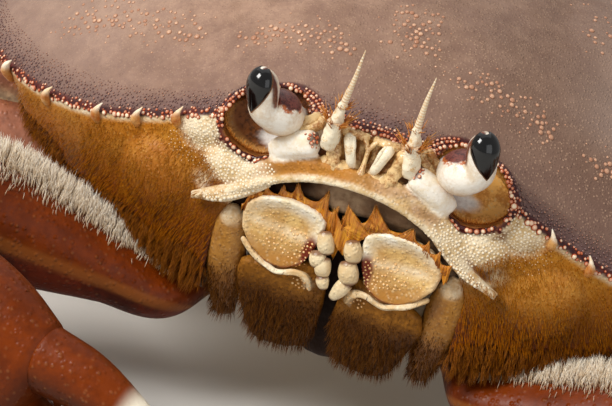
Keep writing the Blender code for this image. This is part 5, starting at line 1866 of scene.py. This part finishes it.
def wire_stalk(board):
    blotch, saddle = board.mottle(900.0, 0.45, 0.6), board.read("saddle")
    purple = board.over(board.blend(blotch, "743a30", "4a1c1a"),
                        (board.grains("Mask", 3200.0, 0.6), 1, "2c0c0c"))
    colour = board.over(
        board.blend(board.mottle(300.0, 0.4, 0.65), "f6f0e4", "e2d0b6"),
        ("low", 1, "cca068"),
        (board.times(board.span(saddle, 0.0, 0.22), board.mottle(520.0, 0.42, 0.55)), 1, "b25c22"),
        (board.span(saddle, 0.42, 0.8), 1, purple),
        ("cap", 1, board.blend(blotch, "542216", "804a32")))
    return colour, board.grains("Height", 2600.0, 0.6), 0.00003


def wire_cornea(board):
    colour = board.blend(board.mottle(400.0, 0.4, 0.7), "050506", "0e0d0c")
    return board.blend(board.read("edge"), colour, "966032"), None, 0


def wire_lining(board):
    blotch = board.mottle(330.0, 0.42, 0.6)
    colour = board.over(
        board.blend(blotch, "f4b860", "c6802e"),
        # upper and deep are painted shade
        (board.grains("Mask", 1500.0, 0.5), 1, "e6bc78"), ("upper", 0.7, "703a14"),
        ("deep", 1, board.blend(blotch, "703608", "3c1802")),
        ("membrane", 1, board.blend(board.mottle(140.0, 0.4, 0.6), "eeeae4", "ccc4bc")))
    return colour, blotch, 0.00008


def wire_folds(pale, deep):
    def wire(board):
        return board.blend(board.mottle(420.0, 0.42, 0.6), pale, deep), board.noise(1200.0, 3.0), 0.00012
    return wire


def wire_palate(board):
    blotch = board.mottle(110.0, 0.4, 0.62)
    # deep is painted shade
    colour = board.over(board.blend(blotch, "a48a6c", "70543c"), ("deep", 1, "281306"))
    return colour, blotch, 0.0001


def wire_feeler(board):
    colour = board.blend(board.mottle(700.0, 0.5, 0.66), "f2e6ca", "d2a25c")
    return board.over(colour, ("joint", 0.6, "c48842")), board.grains("Height", 2600.0, 0.6), 0.00005


def wire_jaw(pale, amber, dark, grains=0.3):
    def wire(board):
        blotch = board.mottle(230.0, 0.38, 0.62)
        edge = board.blend(blotch, "f4e6c6", "dcb884")
        colour = board.over(
            pale, (blotch, 0.6, amber), ("low", 0.85, amber),
            (board.grains("Mask", 1500.0, 0.55), grains, "f6e2b4"),
            # rim: the plate's pale rim with a painted highlight along its top
            ("rim", 1, board.blend(blotch, "fcf7e8", "f0dcb4")),
            ("patch", 1, dark), ("ridge", 1, edge), ("head", 1, edge))
        return colour, board.grains("Height", 1500.0, 0.6), 0.00014
    return wire


def wire_limb(upper, lower, tip):
    def wire(board):
        mottle = board.mottle(110.0, 0.4, 0.62)
        normal = board.put("ShaderNodeNewGeometry").outputs["Normal"]
        height = board.put("ShaderNodeSeparateXYZ", {"Vector": normal}).outputs["Z"]
        # Colour by which way the surface faces: the legs' paler underside is their own colour, while the
        # arm's darker lower colour and its under mark are painted shade.
        colour = board.over(
            lower, (board.span(height, -0.45, 0.3), 1, upper), (mottle, 0.6, "4a1a04"),
            ("under", 1, board.blend(mottle, "5c1e08", "3a1206")),
            (board.grains("Mask", 1000.0, 0.42), 0.1, "ce9660"),
            ("front", 0.4, "a0602a"), ("joint", 0.55, "d6aa78"),
            (board.span(board.read("pale"), 0.3, 0.8), 1, tip))
        return colour, board.grains("Height", 1000.0, 0.5), 0.00012
    return wire


def wire_chest(board):
    colour = board.over(board.blend(board.mottle(80.0, 0.42, 0.64), "e8dabe", "d4b68a"),
                        # front: painted shade at the chest's front end
                        ("seam", 0.75, "96683c"), ("front", 1, "2c1608"))
    return colour, board.grains("Height", 900.0, 0.55), 0.00006


def wire_socket(board):
    colour = board.blend(board.mottle(200.0, 0.4, 0.6), "b0845c", "845838")
    return colour, board.noise(900.0, 4.0), 0.0002


def wire_hair(root, tip, pale):
    def wire(board):
        colour = board.blend(board.read("along"), root, board.blend(board.read("shade"), tip, pale))
        return colour, None, 0
    return wire


def wire_web(board):
    stretched = board.put("ShaderNodeMapping",
                          {"Vector": board.place(), "Scale": (1, 0.6, 0.12)}).outputs["Vector"]
    streak = board.span(board.noise(2600.0, 2.0, 0.5, stretched), 0.35, 0.65)
    wide = board.span(board.noise(700.0, 2.0, 0.5, stretched), 0.4, 0.62)
    colour = board.over(board.blend(streak, "f8b032", "d07e14"),
                        (wide, 0.5, "a0540c"), ("along", 0.55, "9e540c"))
    return colour, streak, 0.00007


SHELL = finish("carapace_skin", 0.5, wire_shell, coat=0.05, shine=0.3)
EDGE_BEADS = finish("edge_bead_skin", 0.26, wire_beads("420e0c", "ba501a", "ffecca", 0.25, 0.66), coat=0.35)
DARK_GRANULES = finish("dark_granule_skin", 0.28, wire_beads("28161a", "583a3a", "be8462", 0.2, 0.6),
                       coat=0.5)
TAN_GRANULES = finish("tan_granule_skin", 0.4, wire_beads("68463a", "ac785a", "d4aa8a", 0.1, 0.55),
                      coat=0.25)
PEARLS = finish("pearl_skin", 0.34, wire_beads("dec496", "e6d0a8", "f6ecd6", 0.0, 0.5), coat=0.2)
PLATE_GRAINS = finish("plate_grain_skin", 0.34, wire_beads("be7c38", "e2aa64", "fce0ac", 0.0, 0.5), coat=0.3)
RIDGE = finish("ridge_skin", 0.4, wire_folds("ecdab8", "cea872"), coat=0.25)
LINING = finish("orbit_lining_skin", 0.45, wire_lining, coat=0.08, shine=0.2)
FOLDS = finish("fold_skin", 0.4, wire_folds("e4c28a", "9c6226"), coat=0.3)
PALATE = finish("palate_skin", 0.55, wire_palate, shine=0.15)
TEETH = finish("tooth_skin", 0.34, wire_teeth, coat=0.3)
STALK_SKIN = finish("stalk_skin", 0.38, wire_stalk, coat=0.35)
CORNEA = finish("cornea_skin", 0.1, wire_cornea, coat=0.7, shine=0.2)
FEELER = finish("feeler_skin", 0.4, wire_feeler, coat=0.25)
JAW_PLATE = finish("jaw_plate_skin", 0.36, wire_jaw("e6be76", "a66a18", "762404"), coat=0.3)
# The basal plates' brown tones, near black at the bottom, are painted shade under the upper plates.
SHADED_JAW_FOOT = finish("shaded_jaw_foot_skin", 0.44, wire_jaw("b07428", "3a1800", "703424", 0.0), shine=0.15)
PALP = finish("palp_skin", 0.36, wire_jaw("ecd8b0", "d0aa70", "683210", 0.15), coat=0.3)
BRANCH = finish("outer_branch_skin", 0.42, wire_jaw("b68036", "744008", "703424", 0.1), coat=0.2)
# The arm's darker lower tone is painted shade.
ARM = finish("arm_skin", 0.38, wire_limb("742e02", "441c04", "f0e6d0"), shine=0.15)
LEG = finish("leg_skin", 0.45, wire_limb("a6684c", "d6b88e", "784c2e"), coat=0.2)
CHEST_SKIN = finish("chest_skin", 0.45, wire_chest, coat=0.05, shine=0.25)
SOCKET = finish("joint_skin", 0.5, wire_socket)
VELVET = finish("velvet_hair", 0.6, wire_hair("924c00", "b06604", "d8982c"), shine=0.06)
LOCKS = finish("wet_hair", 0.45, wire_hair("421a00", "884604", "c4781c"), shine=0.15)
JAW_HAIR = finish("jaw_hair", 0.5, wire_hair("3a1800", "683808", "98601e"), shine=0.1)
WEBBING = finish("wet_hair_web", 0.32, wire_web, coat=0.4)
SETAE = finish("amber_hair", 0.34, wire_hair("a8540e", "de8628", "f6b85c"))
FRINGE = finish("pale_hair", 0.5, wire_hair("dcba8c", "fcecd0", "fffcf2"))


def dress(piece, material, slot, *nodes):
    """Gives a piece its finish and its body, and hides the solids that it stands for; slot is not used."""
    piece.data.materials.clear()
    piece.data.materials.append(material)
    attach(piece, "root")
    if nodes:
        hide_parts(*nodes)
    return piece


def build():
    shell = dress(carapace(), SHELL, "shell_dorsal", "carapace")
    mark_shell(shell)
    skin = Skin(shell)
    dress(side_teeth(), TEETH, "shell_dorsal")
    rims = dress(orbit_rims(skin), EDGE_BEADS, "shell_dorsal")
    dress(edge_beads(Skin(shell, rims)), EDGE_BEADS, "shell_dorsal")
    dress(band_granules(skin), DARK_GRANULES, "shell_dorsal")
    dress(crowd_granules(skin), TAN_GRANULES, "shell_dorsal")
    dress(face_pearls(skin), PEARLS, "shell_belly")
    dress(breastplate(), CHEST_SKIN, "shell_belly", "sternum")
    dress(tail(), CHEST_SKIN, "shell_belly", "abdomen")
    sockets, ridges, plates = [], [], []
    for side, name in SIDES:
        stalk, cornea = eye(side, name)
        dress(stalk, STALK_SKIN, "eyestalk", "eyestalk_" + name)
        dress(cornea, CORNEA, "cornea", "cornea_" + name)
        dress(antenna(side, name), FEELER, "feeler", "antenna_" + name)
        dress(antennule(side, name), FEELER, "feeler", "antennule_" + name)
        dress(socket_lining(side, name), LINING, "shell_belly")
        dress(brow(side, name), FOLDS, "shell_belly")
        ridges.append(dress(cheek_ridge(side, name), RIDGE, "shell_belly"))
        plates.append(dress(coin(side, name), JAW_PLATE, "mouthpart", "maxilliped_merus_" + name))
        dress(mouth_web(side, name), WEBBING, "mouthpart")
        ischium, palp, exopod = jaw_foot(side, name)
        for key, piece, material in (("ischium", ischium, SHADED_JAW_FOOT), ("palp", palp, PALP),
                                     ("exopod", exopod, BRANCH)):
            dress(piece, material, "mouthpart", f"maxilliped_{key}_{name}")
        plates.append(ischium)
        dress(jaw_hair(Skin(ischium, exopod), side, name), JAW_HAIR, "mouthpart")
        for number in range(4):
            made, found = walking_leg(number, side, name)
            sockets += found
            for key, piece in made.items():
                mark(piece, "pale", ease(-crab_points(piece)[:, 2], 52, 62) * (key == "dactylus"))
                dress(piece, LEG, "leg", f"leg_{key}_{name}{number + 1}")
        made, found = arm(side, name)
        sockets += found
        for key, piece in made.items():
            dress(piece, ARM, "claw", f"cheliped_{key}_{name}")
        dress(arm_fringe(Skin(made["merus"]), side, name), FRINGE, "claw")
        dress(leg_hair(side, name), LOCKS, "leg")
    dress(joined(sockets, "joint_sockets"), SOCKET, "leg")
    dress(septum(), FOLDS, "shell_belly")
    dress(palate(), PALATE, "shell_belly")
    dress(shaded_inner_jaws(), PALATE, "mouthpart")
    dress(ridge_beads(Skin(*ridges)), PEARLS, "shell_belly")
    dress(plate_pearls(Skin(*plates)), PLATE_GRAINS, "mouthpart")
    dress(cheek_velvet(skin), VELVET, "shell_belly")
    dress(cheek_locks(skin), LOCKS, "shell_belly")
    dress(mouth_setae(), SETAE, "mouthpart")
    dress(orbit_lashes(), SETAE, "shell_belly")


build()

# ---------------------------------------------------------------- stage, light and camera


def stage():
    deselect()
    bpy.ops.mesh.primitive_plane_add(size=6.0, location=(0, 0, 0))
    floor = bpy.context.object
    floor.name = floor.data.name = "floor"
    material, board, sockets = new_material("floor_paper")
    board.feed(sockets["Base Color"], board.blend(board.noise(6.0), "d6d3cd", "dcd9d4"))
    sockets["Roughness"].default_value = 0.85
    floor.data.materials.append(material)


def lamp(name, place, aim, size, power, colour):
    light = bpy.data.lights.new(name, "AREA")
    light.shape, light.size, light.energy, light.color = "SQUARE", size, power, colour
    made = bpy.data.objects.new(name, light)
    bpy.context.scene.collection.objects.link(made)
    made.location = place
    made.rotation_euler = (Vector(aim) - Vector(place)).to_track_quat("-Z", "Y").to_euler()


CAMERA_YAW, CAMERA_DOWN, CAMERA_ROLL = math.radians(7.3797), math.radians(23.992), math.radians(15.5)
# Distance and offset from the front tooth in millimetres, and focal length in pixels
CAMERA_REACH, CAMERA_OFF, CAMERA_FOCUS = 385.34, (10.33, -10.428), 2443.43
PHOTO_WIDTH, SENSOR_WIDTH = 612, 36


def camera():
    yaw, down, roll = CAMERA_YAW, CAMERA_DOWN, CAMERA_ROLL
    ahead = Vector((-math.sin(yaw) * math.cos(down), math.cos(yaw) * math.cos(down), -math.sin(down)))
    level = Vector((math.cos(yaw), math.sin(yaw), 0))
    upright = level.cross(ahead)
    right = math.cos(roll) * level + math.sin(roll) * upright
    below = -(-math.sin(roll) * level + math.cos(roll) * upright)
    place = (Vector(FRONT) - CAMERA_OFF[0] * right - CAMERA_OFF[1] * below - CAMERA_REACH * ahead) * MM
    lens = bpy.data.cameras.new("camera")
    lens.sensor_width, lens.lens = SENSOR_WIDTH, CAMERA_FOCUS / PHOTO_WIDTH * SENSOR_WIDTH
    lens.clip_start = 0.01
    made = bpy.data.objects.new("camera", lens)
    bpy.context.scene.collection.objects.link(made)
    turned = Matrix((right, -below, -ahead)).transposed().to_4x4()
    made.matrix_world = Matrix.Translation(place) @ turned
    bpy.context.scene.camera = made


stage()
lamp("window", (-0.8, -0.7, 0.9), (0, -0.03, 0.05), 0.5, 17.0, (1, 0.975, 0.94))
lamp("fill", (0.9, -0.9, 0.5), (0, -0.03, 0.05), 0.9, 3.0, (0.97, 0.98, 1))
lamp("above", (-0.3, 0.5, 1.2), (0, 0, 0.05), 1.7, 5.0, (1, 1, 1))
world_light = bpy.data.worlds.new("studio")
world_light.use_nodes = True
backdrop = world_light.node_tree.nodes["Background"].inputs
backdrop["Color"].default_value = (0.94, 0.925, 0.91, 1)
backdrop["Strength"].default_value = 0.4
bpy.context.scene.world = world_light
bpy.context.scene.view_settings.view_transform = "Standard"
camera()
